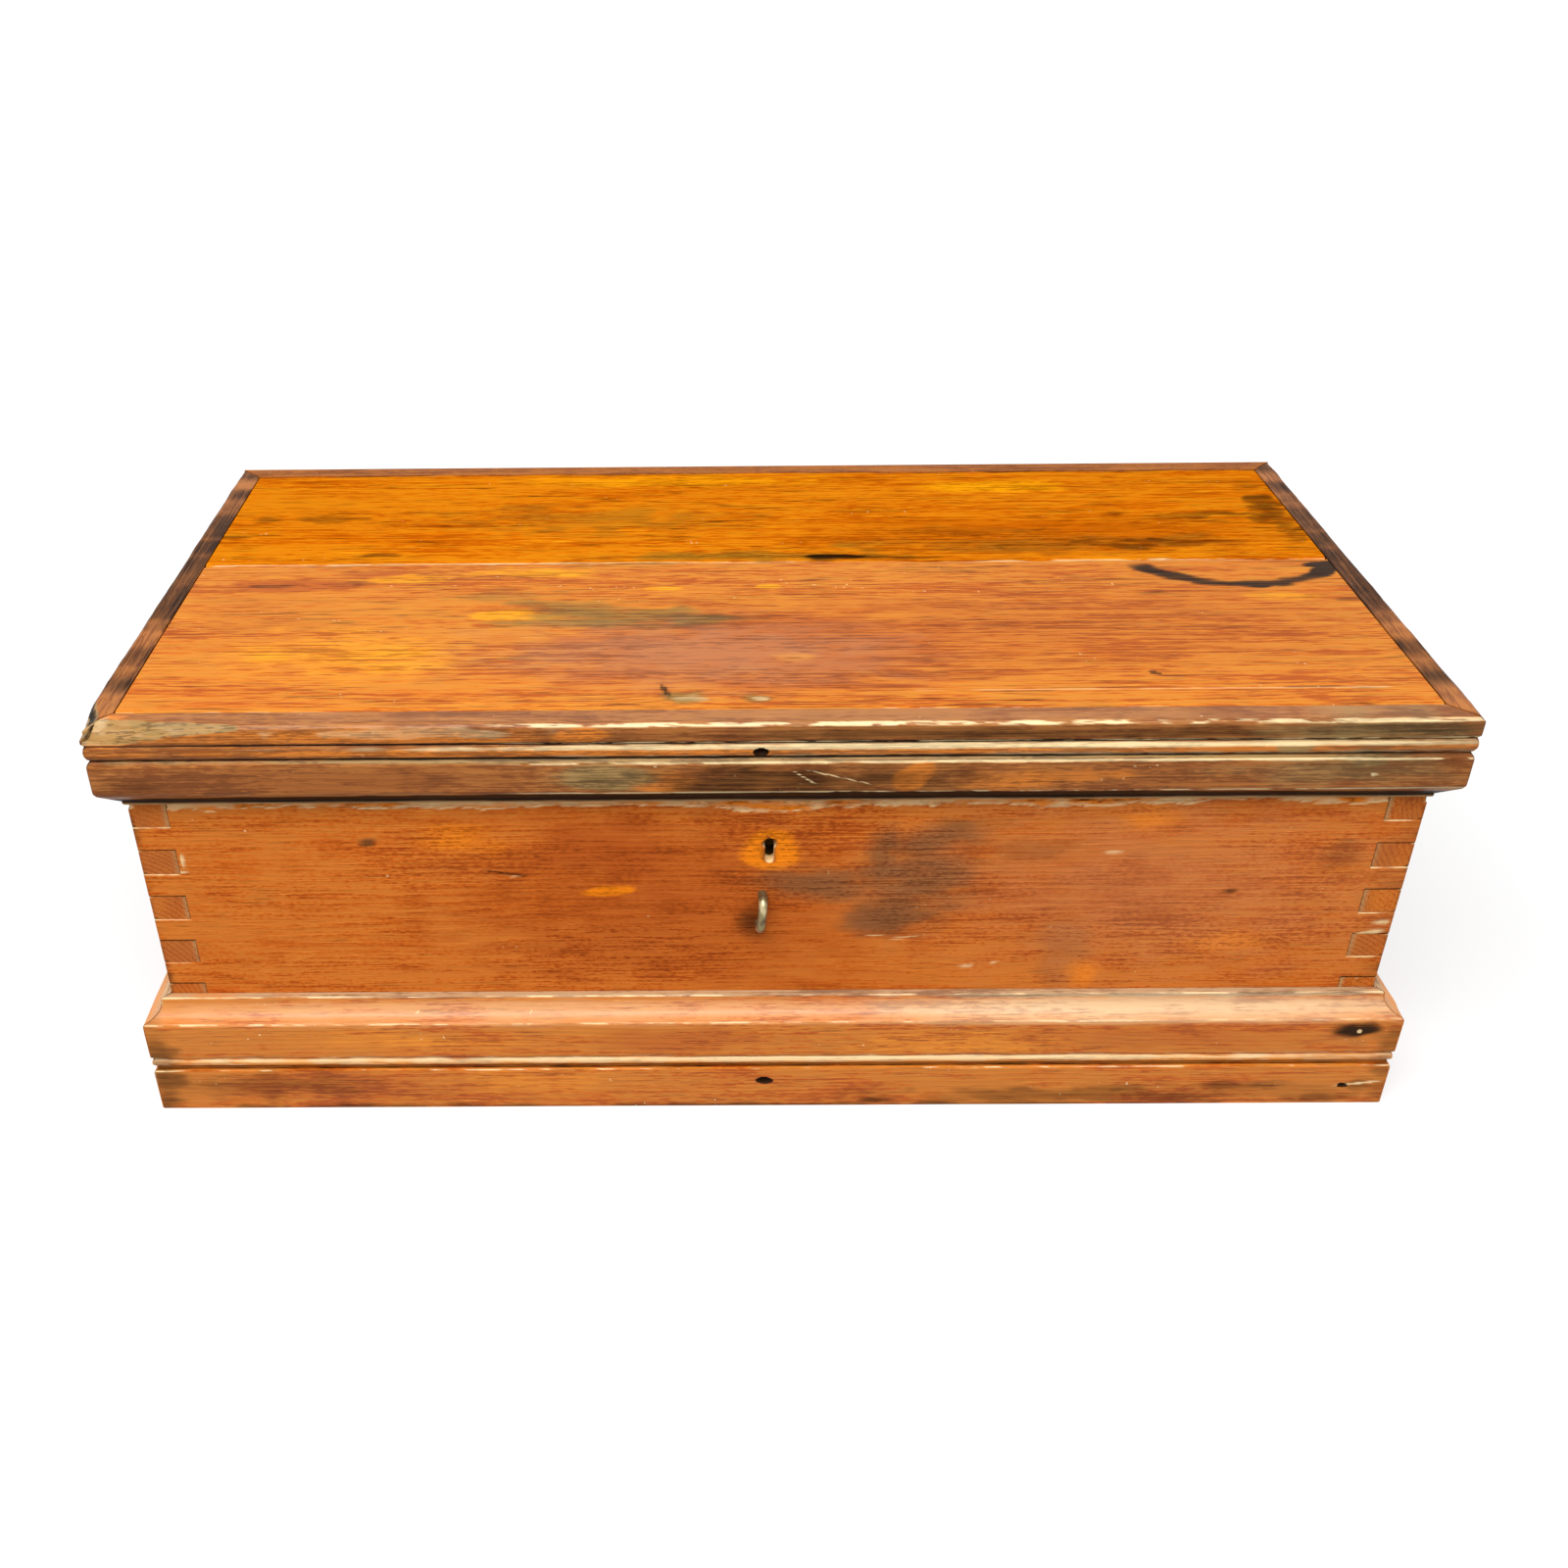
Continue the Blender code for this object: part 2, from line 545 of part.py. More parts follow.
def build_lock(chest, lid, bolt_slide, walls, lid_frame):
    """The lock case in the front wall, its sliding bolt, and the hooked link plate on the lid."""
    front = walls["front_board"]
    left, right = LOCK_X - LOCK_LENGTH / 2, LOCK_X + LOCK_LENGTH / 2
    case_left, case_right = LOCK_X - LOCK_CASE_LENGTH / 2, LOCK_X + LOCK_CASE_LENGTH / 2
    links = [LOCK_X - LINK_SPACING / 2, LOCK_X + LINK_SPACING / 2]

    # Angle plate: selvedge on the wall's top edge, plate on its inside face
    inside = LOCK_FACE - LOCK_PLATE
    plate_low = WALL_TOP - LOCK_HEIGHT
    angle = [(LOCK_FACE, WALL_TOP), (CASE_FRONT, WALL_TOP), (CASE_FRONT, WALL_TOP - LOCK_PLATE)]
    angle += [(inside, WALL_TOP - LOCK_PLATE), (inside, plate_low), (LOCK_FACE, plate_low)]
    plate = piece("lock_plate", prism(bmesh.new(), angle, "X", left, right), "lock_brass", chest)
    slots = bmesh.new()
    slot_half = (LINK_THICKNESS / 2 + PLAY, LINK_WIDTH / 2 + PLAY)
    for link in links:
        block(
            slots,
            (link - slot_half[0], LINK_Y - slot_half[1] + FIT, WALL_TOP - LOCK_PLATE - CUT_PAST),
            (link + slot_half[0], LINK_Y + slot_half[1] - FIT, WALL_TOP + CUT_PAST),
        )
    combine(plate, helper("lock_selvedge_slots", slots, chest), "DIFFERENCE")
    pin_hole = rod(
        bmesh.new(), (LOCK_X, KEY_Z), KEY_PIN_RADIUS + FIT, "Y", inside - CUT_PAST, LOCK_FACE + CUT_PAST
    )
    combine(plate, helper("lock_pin_hole", pin_hole, chest), "DIFFERENCE")
    pin = rod(bmesh.new(), (LOCK_X, KEY_Z), KEY_PIN_RADIUS, "Y", CASE_INSIDE, LOCK_FACE)
    shade_round(piece("lock_key_pin", pin, "wrought_iron", chest))

    # Case: a sheet box, open at the back and under the selvedge
    case_shape = block(bmesh.new(), (case_left, CASE_FRONT, CASE_BOTTOM), (case_right, CASE_BACK, CASE_TOP))
    case = piece("lock_cap", case_shape, "lock_brass", chest)
    hollow = block(
        bmesh.new(),
        (case_left + LOCK_SHEET, CASE_INSIDE, CASE_BOTTOM + LOCK_SHEET),
        (case_right - LOCK_SHEET, CASE_BACK + CUT_PAST, CASE_TOP + CUT_PAST),
    )
    combine(case, helper("lock_cap_hollow", hollow, chest), "DIFFERENCE")

    # Recesses in the front wall, and the keyhole through wall and case
    recess = [(LOCK_FACE + CUT_PAST, WALL_TOP + CUT_PAST), (CASE_FRONT - FIT, WALL_TOP + CUT_PAST)]
    recess += [(CASE_FRONT - FIT, CASE_TOP), (inside - FIT, CASE_TOP)]
    recess += [(inside - FIT, plate_low - FIT), (LOCK_FACE + CUT_PAST, plate_low - FIT)]
    plate_recess = prism(bmesh.new(), recess, "X", left - FIT, right + FIT)
    combine(front, helper("lock_plate_recess", plate_recess, chest), "DIFFERENCE")
    case_recess = block(
        bmesh.new(),
        (case_left - FIT, CASE_FRONT - FIT, CASE_BOTTOM - FIT),
        (case_right + FIT, LOCK_FACE + CUT_PAST, WALL_TOP + CUT_PAST),
    )
    combine(front, helper("lock_case_recess", case_recess, chest), "DIFFERENCE")
    keyway = prism(bmesh.new(), keyhole_outline(), "Y", -HALF_DEPTH - CUT_PAST, CASE_INSIDE + FIT)
    keyhole = helper("keyhole", keyway, chest)
    combine(front, keyhole, "DIFFERENCE")
    combine(case, keyhole, "DIFFERENCE")

    # Link plate under the front rail, with two eyed links that drop through the selvedge
    link_left, link_right = LOCK_X - LINK_LENGTH / 2, LOCK_X + LINK_LENGTH / 2
    plate_top = LID_BOTTOM + LOCK_PLATE
    link_shape = block(bmesh.new(), (link_left, CASE_FRONT, LID_BOTTOM), (link_right, LOCK_FACE, plate_top))
    link_plate = piece("lock_link_plate", link_shape, "lock_brass", lid)
    bars, eyes = bmesh.new(), bmesh.new()
    half, eye_half = LINK_WIDTH / 2, LINK_WIDTH / 2 - LINK_BAR
    tongue_low = EYE_LOW + PLAY
    eye_high = tongue_low + BOLT_TONGUE_HEIGHT + PLAY
    bar_low, bar_high = LID_BOTTOM - LINK_DROP, LID_BOTTOM + LOCK_PLATE / 2
    for link in links:
        a, b = link - LINK_THICKNESS / 2, link + LINK_THICKNESS / 2
        block(bars, (a, LINK_Y - half, bar_low), (b, LINK_Y + half, bar_high))
        block(eyes, (a - CUT_PAST, LINK_Y - eye_half, EYE_LOW), (b + CUT_PAST, LINK_Y + eye_half, eye_high))
    combine(link_plate, helper("lock_link_bars", bars, lid), "UNION")
    combine(link_plate, helper("lock_link_eyes", eyes, lid), "DIFFERENCE")
    bed = block(
        bmesh.new(),
        (link_left - FIT, CASE_FRONT - FIT, LID_BOTTOM - CUT_PAST),
        (link_right + FIT, LOCK_FACE + CUT_PAST, plate_top + FIT),
    )
    combine(lid_frame["lid_rail_front"], helper("lock_link_bed", bed, lid), "DIFFERENCE")

    # Bolt: a bar that slides in the case, with two tongues that enter the links' eyes
    bar_top = bar_low - PLAY
    tips = [link - LINK_THICKNESS / 2 - PLAY for link in links]
    bolt_left = tips[0] - BOLT_THROW - BOLT_POST
    bolt_right = case_right - LOCK_SHEET - PLAY - BOLT_THROW
    bolt_shape = block(
        bmesh.new(),
        (bolt_left, CASE_INSIDE + FIT, bar_top - BOLT_HEIGHT),
        (bolt_right, inside - FIT, bar_top),
    )
    bolt = piece("lock_bolt", bolt_shape, "wrought_iron", bolt_slide)
    tongues = bmesh.new()
    thick = eye_half - PLAY
    for tip in tips:
        root = tip - BOLT_THROW - BOLT_POST
        top = tongue_low + BOLT_TONGUE_HEIGHT
        hook = [(root, bar_top - BOLT_HEIGHT / 2), (root + BOLT_POST, bar_top - BOLT_HEIGHT / 2)]
        hook += [(root + BOLT_POST, tongue_low), (tip, tongue_low), (tip, top), (root, top)]
        prism(tongues, hook, "Y", LINK_Y - thick, LINK_Y + thick)
    combine(bolt, helper("lock_bolt_tongues", tongues, bolt_slide), "UNION")


def build_staple(chest, walls):
    """The bent-wire staple that a hasp closed over, driven into the front."""
    face = -HALF_DEPTH
    inner = face + WALL - STAPLE_BACKING
    outer = face - STAPLE_REACH
    high, low = STAPLE_Z + STAPLE_SPACING / 2, STAPLE_Z - STAPLE_SPACING / 2
    spots = ((inner, high), (outer, high), (outer, low), (inner, low))
    corners = [Vector((STAPLE_X, y, z)) for y, z in spots]
    route = rounded_route(corners, [STAPLE_BEND, STAPLE_BEND])
    radii = [STAPLE_WIRE_RADIUS] * len(route)
    tube("hasp_staple", route, radii, "wrought_iron", chest, Vector((STAPLE_X, face, STAPLE_Z)))
    holes = bmesh.new()
    for level in (high, low):
        rod(holes, (STAPLE_X, level), STAPLE_WIRE_RADIUS + PLAY / 2, "Y", face - CUT_PAST, inner + FIT)
    combine(walls["front_board"], helper("staple_holes", holes, chest), "DIFFERENCE")


def build_handle(side, sign, chest, swing):
    """A drop handle on one end: plate with two ears, and a bail that hangs in them."""
    half_y = HANDLE_PLATE_LENGTH / 2 - HANDLE_PLATE_CORNER
    half_z = HANDLE_PLATE_HEIGHT / 2 - HANDLE_PLATE_CORNER
    outline = []
    quarters = ((half_y, half_z), (-half_y, half_z), (-half_y, -half_z), (half_y, -half_z))
    for quarter, (y, z) in enumerate(quarters):
        start, centre = 90 * quarter, (y, HANDLE_Z + z)
        outline += arc(centre, HANDLE_PLATE_CORNER, HANDLE_PLATE_CORNER, start, start + 90, CORNER_STEPS)
    back = sign * (HALF_LENGTH + FIT)
    plate_shape = prism(bmesh.new(), outline, "X", back, sign * PLATE_FACE)
    plate = piece(f"handle_plate_{side}", plate_shape, "wrought_iron", chest)
    ears, holes = bmesh.new(), bmesh.new()
    root = sign * (PLATE_FACE - HANDLE_PLATE_THICKNESS / 2)
    for y in (-EAR_SPACING / 2, EAR_SPACING / 2):
        nose = arc((sign * PIVOT_X, HANDLE_Z), sign * EAR_RADIUS, EAR_RADIUS, -90, 90)
        lug = [(root, HANDLE_Z - EAR_RADIUS)] + nose + [(root, HANDLE_Z + EAR_RADIUS)]
        prism(ears, lug, "Y", y - EAR_WIDTH / 2, y + EAR_WIDTH / 2)
        bore = PIVOT_RADIUS + FIT
        rod(holes, (sign * PIVOT_X, HANDLE_Z), bore, "Y", y - EAR_WIDTH, y + EAR_WIDTH)
    combine(plate, helper(f"handle_ears_{side}", ears, chest), "UNION")
    combine(plate, helper(f"handle_holes_{side}", holes, chest), "DIFFERENCE")

    stub = EAR_SPACING / 2 + EAR_WIDTH / 2
    arm = EAR_SPACING / 2 - EAR_WIDTH / 2 - PLAY - BAIL_RADIUS
    low = HANDLE_Z - BAIL_DROP
    spots = ((-stub, HANDLE_Z), (-arm, HANDLE_Z), (-arm, low), (arm, low), (arm, HANDLE_Z), (stub, HANDLE_Z))
    corners = [Vector((sign * PIVOT_X, y, z)) for y, z in spots]
    bends = [BAIL_SHOULDER_BEND, BAIL_BEND, BAIL_BEND, BAIL_SHOULDER_BEND]
    route = rounded_route(corners, bends)
    fall = [min(1.0, max(0.0, (HANDLE_Z - place.z) / BAIL_BEND)) for place in route]
    radii = [PIVOT_RADIUS + (BAIL_RADIUS - PIVOT_RADIUS) * share for share in fall]
    tube(f"handle_bail_{side}", route, radii, "wrought_iron", swing, swing.location.copy())


def build_till(chest, till):
    """The sliding tray, one divider in it, and the runners that carry it."""
    runner_high = TILL_FLOOR - FIT
    outer, inner = INNER_HALF_LENGTH - FIT, INNER_HALF_LENGTH - FIT - RUNNER_WIDTH
    run = INNER_HALF_DEPTH - FIT
    for side, left, right in (("left", -outer, -inner), ("right", inner, outer)):
        shape = block(bmesh.new(), (left, -run, runner_high - RUNNER_HEIGHT), (right, run, runner_high))
        piece(f"till_runner_{side}", shape, "bare_pine", chest)
    floor = TILL_FLOOR + TILL_BOTTOM
    corner = (-TILL_HALF_LENGTH, TILL_FRONT, TILL_FLOOR)
    tray = block(bmesh.new(), corner, (TILL_HALF_LENGTH, TILL_BACK, floor))
    piece("till_bottom", tray, "bare_pine", till)
    low, high = floor + FIT, TILL_FLOOR + TILL_HEIGHT
    slot_left = TILL_DIVIDER_X - TILL_BOARD / 2 - FIT
    slot_right = TILL_DIVIDER_X + TILL_BOARD / 2 + FIT
    for name, outside, inward in (("till_front", TILL_FRONT, 1), ("till_back", TILL_BACK, -1)):
        face = outside + inward * TILL_BOARD
        bed = face - inward * TILL_HOUSING
        outline = [(-TILL_HALF_LENGTH, outside), (TILL_HALF_LENGTH, outside), (TILL_HALF_LENGTH, face)]
        outline += [(slot_right, face), (slot_right, bed), (slot_left, bed), (slot_left, face)]
        outline += [(-TILL_HALF_LENGTH, face)]
        piece(name, prism(bmesh.new(), outline, "Z", low, high), "bare_pine", till)
    near, far = TILL_FRONT + TILL_BOARD + FIT, TILL_BACK - TILL_BOARD - FIT
    end = TILL_HALF_LENGTH - TILL_BOARD
    for side, left, right in (("left", -TILL_HALF_LENGTH, -end), ("right", end, TILL_HALF_LENGTH)):
        shape = block(bmesh.new(), (left, near, low), (right, far, high))
        piece(f"till_{side}_end", shape, "bare_pine", till)
    divider = block(
        bmesh.new(),
        (TILL_DIVIDER_X - TILL_BOARD / 2, near - TILL_HOUSING, low),
        (TILL_DIVIDER_X + TILL_BOARD / 2, far + TILL_HOUSING, high),
    )
    piece("till_divider", divider, "bare_pine", till)


def main():
    """Builds the chest, closed, unlocked, with its till at the back and its handles hanging."""
    clear_scene()
    chest = pivot("chest", Vector((0, 0, 0)))
    lid = pivot("lid_hinge_axis", Vector((0, HINGE_Y, HINGE_Z)))
    till = pivot("till_slide_start", Vector((0, TILL_BACK, TILL_FLOOR)))
    bolt_slide = pivot("lock_bolt_start", Vector((LOCK_X, LINK_Y, EYE_LOW)))
    walls = build_walls(chest)
    build_bottom(chest)
    build_plinth(chest)
    lid_frame = build_lid(lid)
    build_hinges(chest, lid, walls, lid_frame)
    build_lock(chest, lid, bolt_slide, walls, lid_frame)
    build_staple(chest, walls)
    for side, sign in (("left", -1), ("right", 1)):
        swing = pivot(f"handle_{side}_axis", Vector((sign * PIVOT_X, 0, HANDLE_Z)))
        build_handle(side, sign, chest, swing)
    build_till(chest, till)


main()
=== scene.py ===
"""Looks of a joiner's tool chest in worn stained pine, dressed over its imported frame.

Sizes in the classes are millimetres, and meshes are in metres. Boards and mouldings are numpy surfaces: a
section carried along a straight length, or a slab of cells with fingers. What years of use left on them is
painted into mesh attributes, which the finishes read.
"""

from __future__ import annotations

import json
import logging
import math
from dataclasses import dataclass, field, replace
from enum import Enum
from functools import partial

import bmesh
import bpy
import numpy as np
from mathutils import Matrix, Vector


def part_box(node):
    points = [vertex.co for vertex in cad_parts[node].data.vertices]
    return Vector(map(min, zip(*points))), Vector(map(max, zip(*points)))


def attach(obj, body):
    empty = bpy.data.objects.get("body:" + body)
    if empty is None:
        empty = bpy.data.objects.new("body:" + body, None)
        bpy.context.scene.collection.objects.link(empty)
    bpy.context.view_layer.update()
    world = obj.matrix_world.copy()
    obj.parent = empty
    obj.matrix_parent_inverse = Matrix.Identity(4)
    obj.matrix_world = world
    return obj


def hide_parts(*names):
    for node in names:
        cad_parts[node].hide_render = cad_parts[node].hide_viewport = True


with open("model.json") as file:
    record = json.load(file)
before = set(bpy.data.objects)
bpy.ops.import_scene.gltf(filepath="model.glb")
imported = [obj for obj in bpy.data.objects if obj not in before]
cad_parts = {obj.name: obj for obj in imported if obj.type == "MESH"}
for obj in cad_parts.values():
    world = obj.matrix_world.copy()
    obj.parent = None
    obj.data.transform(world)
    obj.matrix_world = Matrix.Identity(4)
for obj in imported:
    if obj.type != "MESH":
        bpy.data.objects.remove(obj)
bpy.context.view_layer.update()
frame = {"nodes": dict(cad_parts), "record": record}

Array = np.ndarray
Pair = tuple[float, float]
Triple = tuple[float, float, float]

MM = 0.001
FIT = 0.3  # gap between pieces that seat on each other, mm
LATTICE = 97  # random values on each side of a noise table, before it repeats
ORIGIN = (0.0, 0.0, 0.0)
HARD_EDGE = 50.0  # faces that meet at a wider angle keep a hard edge between them, degrees
EASED_EDGE = 40.0  # edges of a CAD node that are sharper than this are eased, degrees
WELD = 0.02  # points of a CAD node closer than this are one point, mm
SPOT_BITE = (18.0, 7.0)  # length and width of the bites in a spot's rim, mm
ARC_BITE = (16.0, 8.0)  # the same in an arc's rim, mm
ARC_SEED = 71
ARC_FADE = 12.0  # angle over which an arc fades at its ends, degrees
ROUNDING = (0.4, 1.2, 2.8)  # spread of the bell that rounds an outline: crisp, eased and worn, mm
FULL_ARRIS = 0.3  # a point that easing draws in by this much lies on a full arris, mm
FULL_HOLLOW = 0.25  # a point that easing lifts by this much lies in a full hollow, mm
OUTLINE_GAP = 1.3  # usual gap between the points of a section, mm
RECESS_OPEN = 4.0  # how far a recess runs past the open edges of the wood, mm
NEAREST = 0.12  # grid lines closer than this are one line, mm
log = logging.getLogger("tool_chest")


# Fields and outlines

def ease(t: Array) -> Array:
    """The smooth step 3t² - 2t³ of a value held between 0 and 1."""
    t = np.clip(t, 0.0, 1.0)
    return t * t * (3.0 - 2.0 * t)


def lattice(u: Array, v: Array, seed: int) -> Array:
    """Smooth random field: random values at whole numbers of u and v, eased between them.

    Args:
        u, v: Coordinates, of one shape.
        seed: Which random table is read.

    Returns:
        Values between -1 and 1.
    """
    table = np.random.default_rng(seed).uniform(-1.0, 1.0, (LATTICE, LATTICE))
    column, row = np.floor(u).astype(int), np.floor(v).astype(int)
    across, up = ease(u - column), ease(v - row)
    left, right = column % LATTICE, (column + 1) % LATTICE
    low, high = row % LATTICE, (row + 1) % LATTICE
    below = table[left, low] * (1.0 - across) + table[right, low] * across
    above = table[left, high] * (1.0 - across) + table[right, high] * across
    return below * (1.0 - up) + above * up


def rough(u: Array, v: Array, seed: int, layers: int = 3) -> Array:
    """Sum of random fields, each twice as fine and half as strong as the one before.

    Args:
        u, v: Coordinates in units of the coarsest grain.
        seed: Which random tables are read.
        layers: How many fields are added.

    Returns:
        Values mostly between -1 and 1.
    """
    u, v = np.broadcast_arrays(u, v)
    fields = [lattice(u * 2**k, v * 2**k, seed + k) / 2**k for k in range(layers)]
    return sum(fields) / (2.0 - 0.5 ** (layers - 1))


def arc(centre: Pair, radii: Pair, start: float, stop: float, steps: int = 12) -> list[Pair]:
    """Points of an elliptic arc: centre + (radius·cos, radius·sin).

    Args:
        centre: Middle of the ellipse.
        radii: Its half width and half height.
        start, stop: Angles of the two ends, degrees.
        steps: How many chords stand for the arc.

    Returns:
        The points from start to stop.
    """
    angles = np.radians(np.linspace(start, stop, steps + 1))
    return list(zip(centre[0] + radii[0] * np.cos(angles), centre[1] + radii[1] * np.sin(angles)))


def subdivided(outline: Array, step: float) -> Array:
    """The same open outline with extra points set evenly into each of its lines.

    Args:
        outline: Points of the outline.
        step: Widest gap left between two points.

    Returns:
        The old and new points in order.
    """
    pieces = []
    for first, last in zip(outline[:-1], outline[1:]):
        count = max(1, math.ceil(np.linalg.norm(last - first) / step))
        pieces.append(first + (last - first) * (np.arange(count) / count)[:, None])
    return np.concatenate(pieces + [outline[-1:]])


def blurred(outline: Array, spread: float) -> Array:
    """Each point moved to the mean of its neighbours, weighted by a bell along the outline; both ends stay.

    Args:
        outline: Points of an open outline.
        spread: Width of the bell, in the outline's own unit.

    Returns:
        The softened points.
    """
    run = np.concatenate([[0.0], np.cumsum(np.linalg.norm(np.diff(outline, axis=0), axis=1))])
    weights = np.exp(-0.5 * ((run[:, None] - run) / spread) ** 2) * np.gradient(run)
    soft = weights @ outline / weights.sum(axis=1, keepdims=True)
    hold = np.clip(np.minimum(run, run[-1] - run) / (3.0 * spread), 0.0, 1.0)
    return outline + hold[:, None] * (soft - outline)


def node_box(name: str) -> tuple[Array, Array]:
    """Lowest and highest corner of a CAD node.

    Args:
        name: The node's name.

    Returns:
        The two corners, mm.
    """
    low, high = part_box(name)
    return np.array(low) / MM, np.array(high) / MM


# Marks of use and painted light

class Mark(Enum):
    """What use left on a surface, and painted shade, highlight, sheen and light; the value names the mesh
    attribute that the finishes read.
    """

    PALE = "pale"  # finish and skin gone, raw wood, and painted highlights on beads, fillets, arrises and finger edges
    SOOT = "soot"  # ink, grime and burnt knots, and painted shade in grooves, under the lid and along finger edges
    WARM = "warm"  # finish rubbed thin and bright
    RUDDY = "ruddy"  # stain lying thick and red-brown
    BLOOM = "bloom"  # grey-green scuffs and old damp, and painted light on the lid's up-facing fillet
    HAZE = "haze"  # painted sheen: the soft reflection of the light on polished faces, without an edge
    BARE = "bare"  # faces that never had a finish


@dataclass(frozen=True)
class Spot:
    """A ragged ellipse of one mark on a face, in that face's two coordinates."""

    mark: Mark
    at: Pair
    half: Pair
    depth: float = 1.0
    turn: float = 0.0
    ragged: float = 0.45
    soft: float = 0.8

    def reach(self, u: Array, v: Array) -> Array:
        """The ellipse's own radius at each point: 0 at its middle and 1 on its rim.

        Args:
            u, v: Coordinates on the face.

        Returns:
            The radius.
        """
        turn = math.radians(self.turn)
        du, dv = u - self.at[0], v - self.at[1]
        along = (math.cos(turn) * du + math.sin(turn) * dv) / self.half[0]
        across = (math.cos(turn) * dv - math.sin(turn) * du) / self.half[1]
        return np.hypot(along, across)

    def cover(self, u: Array, v: Array) -> Array:
        """How much of the mark lies at each point: full inside, eased to nothing over a soft, shaken rim.

        Args:
            u, v: Coordinates on the face.

        Returns:
            The cover, from 0 to the spot's depth.
        """
        seed = int(abs(self.at[0]) * 7 + abs(self.at[1]) * 3) % 1000
        shaken = self.reach(u, v) + self.ragged * rough(u / SPOT_BITE[0], v / SPOT_BITE[1], seed)
        return self.depth * ease((1.0 + self.soft / 2 - shaken) / self.soft)


@dataclass(frozen=True)
class Arc(Spot):
    """A band of a mark along part of an ellipse, as a wet foot leaves it."""

    band: float = 5.0
    span: Pair = (180.0, 360.0)

    def cover(self, u: Array, v: Array) -> Array:
        """Full where a point lies within the band of the ellipse and within the span of angles.

        Args:
            u, v: Coordinates on the face.

        Returns:
            The cover, from 0 to the arc's depth.
        """
        off = np.abs(self.reach(u, v) - 1.0) * min(self.half) / self.band
        angle = np.degrees(np.arctan2(v - self.at[1], u - self.at[0])) % 360.0
        middle, wide = sum(self.span) / 2.0, (self.span[1] - self.span[0]) / 2.0
        ends = ease((wide - np.abs(angle - middle)) / ARC_FADE)
        shaken = off + self.ragged * rough(u / ARC_BITE[0], v / ARC_BITE[1], ARC_SEED)
        return self.depth * ends * ease((1.0 + self.soft / 2 - shaken) / self.soft)


def painted(u: Array, v: Array, spots: tuple[Spot, ...]) -> dict[Mark, Array]:
    """The strongest cover of each kind of mark at each point of a face.

    Args:
        u, v: Coordinates on the face.
        spots: What lies on it.

    Returns:
        The cover of every mark.
    """
    cover = {mark: np.zeros(np.broadcast(u, v).shape) for mark in Mark}
    for spot in spots:
        cover[spot.mark] = np.maximum(cover[spot.mark], spot.cover(u, v))
    return cover


def strewn(mark: Mark, *rows: tuple[float, ...]) -> tuple[Spot, ...]:
    """Many spots of one mark.

    Args:
        mark: The mark of use or of painted light.
        *rows: For each spot u, v, its half length and half height, and then, as far as they differ from the
            usual ones, its depth, turn, raggedness and softness.

    Returns:
        The spots.
    """
    return tuple(Spot(mark, row[:2], row[2:4], *row[4:]) for row in rows)


# Meshes

def make_piece(
    name: str, points: Array, faces: list[list[int]], marks: dict[Mark, Array] | None = None,
    heart: Triple = ORIGIN,
) -> bpy.types.Object:
    """A closed mesh object at the origin, smooth but for its sharp edges.

    Args:
        name: The piece's name.
        points: Corners in millimetres, one row each.
        faces: Corner numbers of each face.
        marks: Cover of each mark at each corner, on wood.
        heart: Where the tree's heart lies in this board, mm, for the finish's growth rings.

    Returns:
        The new object, linked to the scene.
    """
    mesh = bpy.data.meshes.new(name)
    mesh.from_pydata(points * MM, [], faces)
    for mark, values in (marks or {}).items():
        layer = mesh.attributes.new(mark.value, "FLOAT", "POINT")
        layer.data.foreach_set("value", np.ascontiguousarray(values.ravel(), dtype=np.float32))
    layer = mesh.attributes.new("heart", "FLOAT_VECTOR", "POINT")
    layer.data.foreach_set("vector", np.tile(np.array(heart, dtype=np.float32) * MM, len(points)))
    shape = bmesh.new()
    shape.from_mesh(mesh)
    bmesh.ops.recalc_face_normals(shape, faces=shape.faces)
    shape.to_mesh(mesh)
    shape.free()
    mesh.shade_smooth()
    mesh.set_sharp_from_angle(angle=math.radians(HARD_EDGE))
    piece = bpy.data.objects.new(name, mesh)
    bpy.context.scene.collection.objects.link(piece)
    return piece


def ring_faces(rows: int, columns: int) -> Array:
    """Quads between the rings of a closed grid: each row of points is a ring, joined to the next row.

    Args:
        rows: How many rings there are.
        columns: How many points each has.

    Returns:
        Four corner numbers for each quad.
    """
    start = np.arange(rows - 1)[:, None] * columns
    here = np.arange(columns)[None, :]
    after = (here + 1) % columns
    corners = [start + here, start + after, start + columns + after, start + columns + here]
    return np.stack(corners, axis=-1).reshape(-1, 4)


def tube_faces(rows: int, columns: int) -> list[list[int]]:
    """The quads of a closed grid, and one face over each of its two ends.

    Args:
        rows: How many rings there are.
        columns: How many points each has.

    Returns:
        Corner numbers of each face.
    """
    first = list(range(columns))
    last = list(range((rows - 1) * columns, rows * columns))
    return ring_faces(rows, columns).tolist() + [first, last]


def settle(
    piece: bpy.types.Object, body: str, material: bpy.types.Material, nodes: tuple[str, ...] = ()
) -> None:
    """Gives a new piece its finish, the body it rides on and the CAD nodes it stands for.

    Args:
        piece: The piece.
        body: The body that carries it.
        material: Its finish.
        nodes: The CAD nodes that it replaces, if any.
    """
    piece.data.materials.append(material)
    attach(piece, body)
    if nodes:
        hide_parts(*nodes)
    log.info("%s: %d faces on %s", piece.name, len(piece.data.polygons), body)


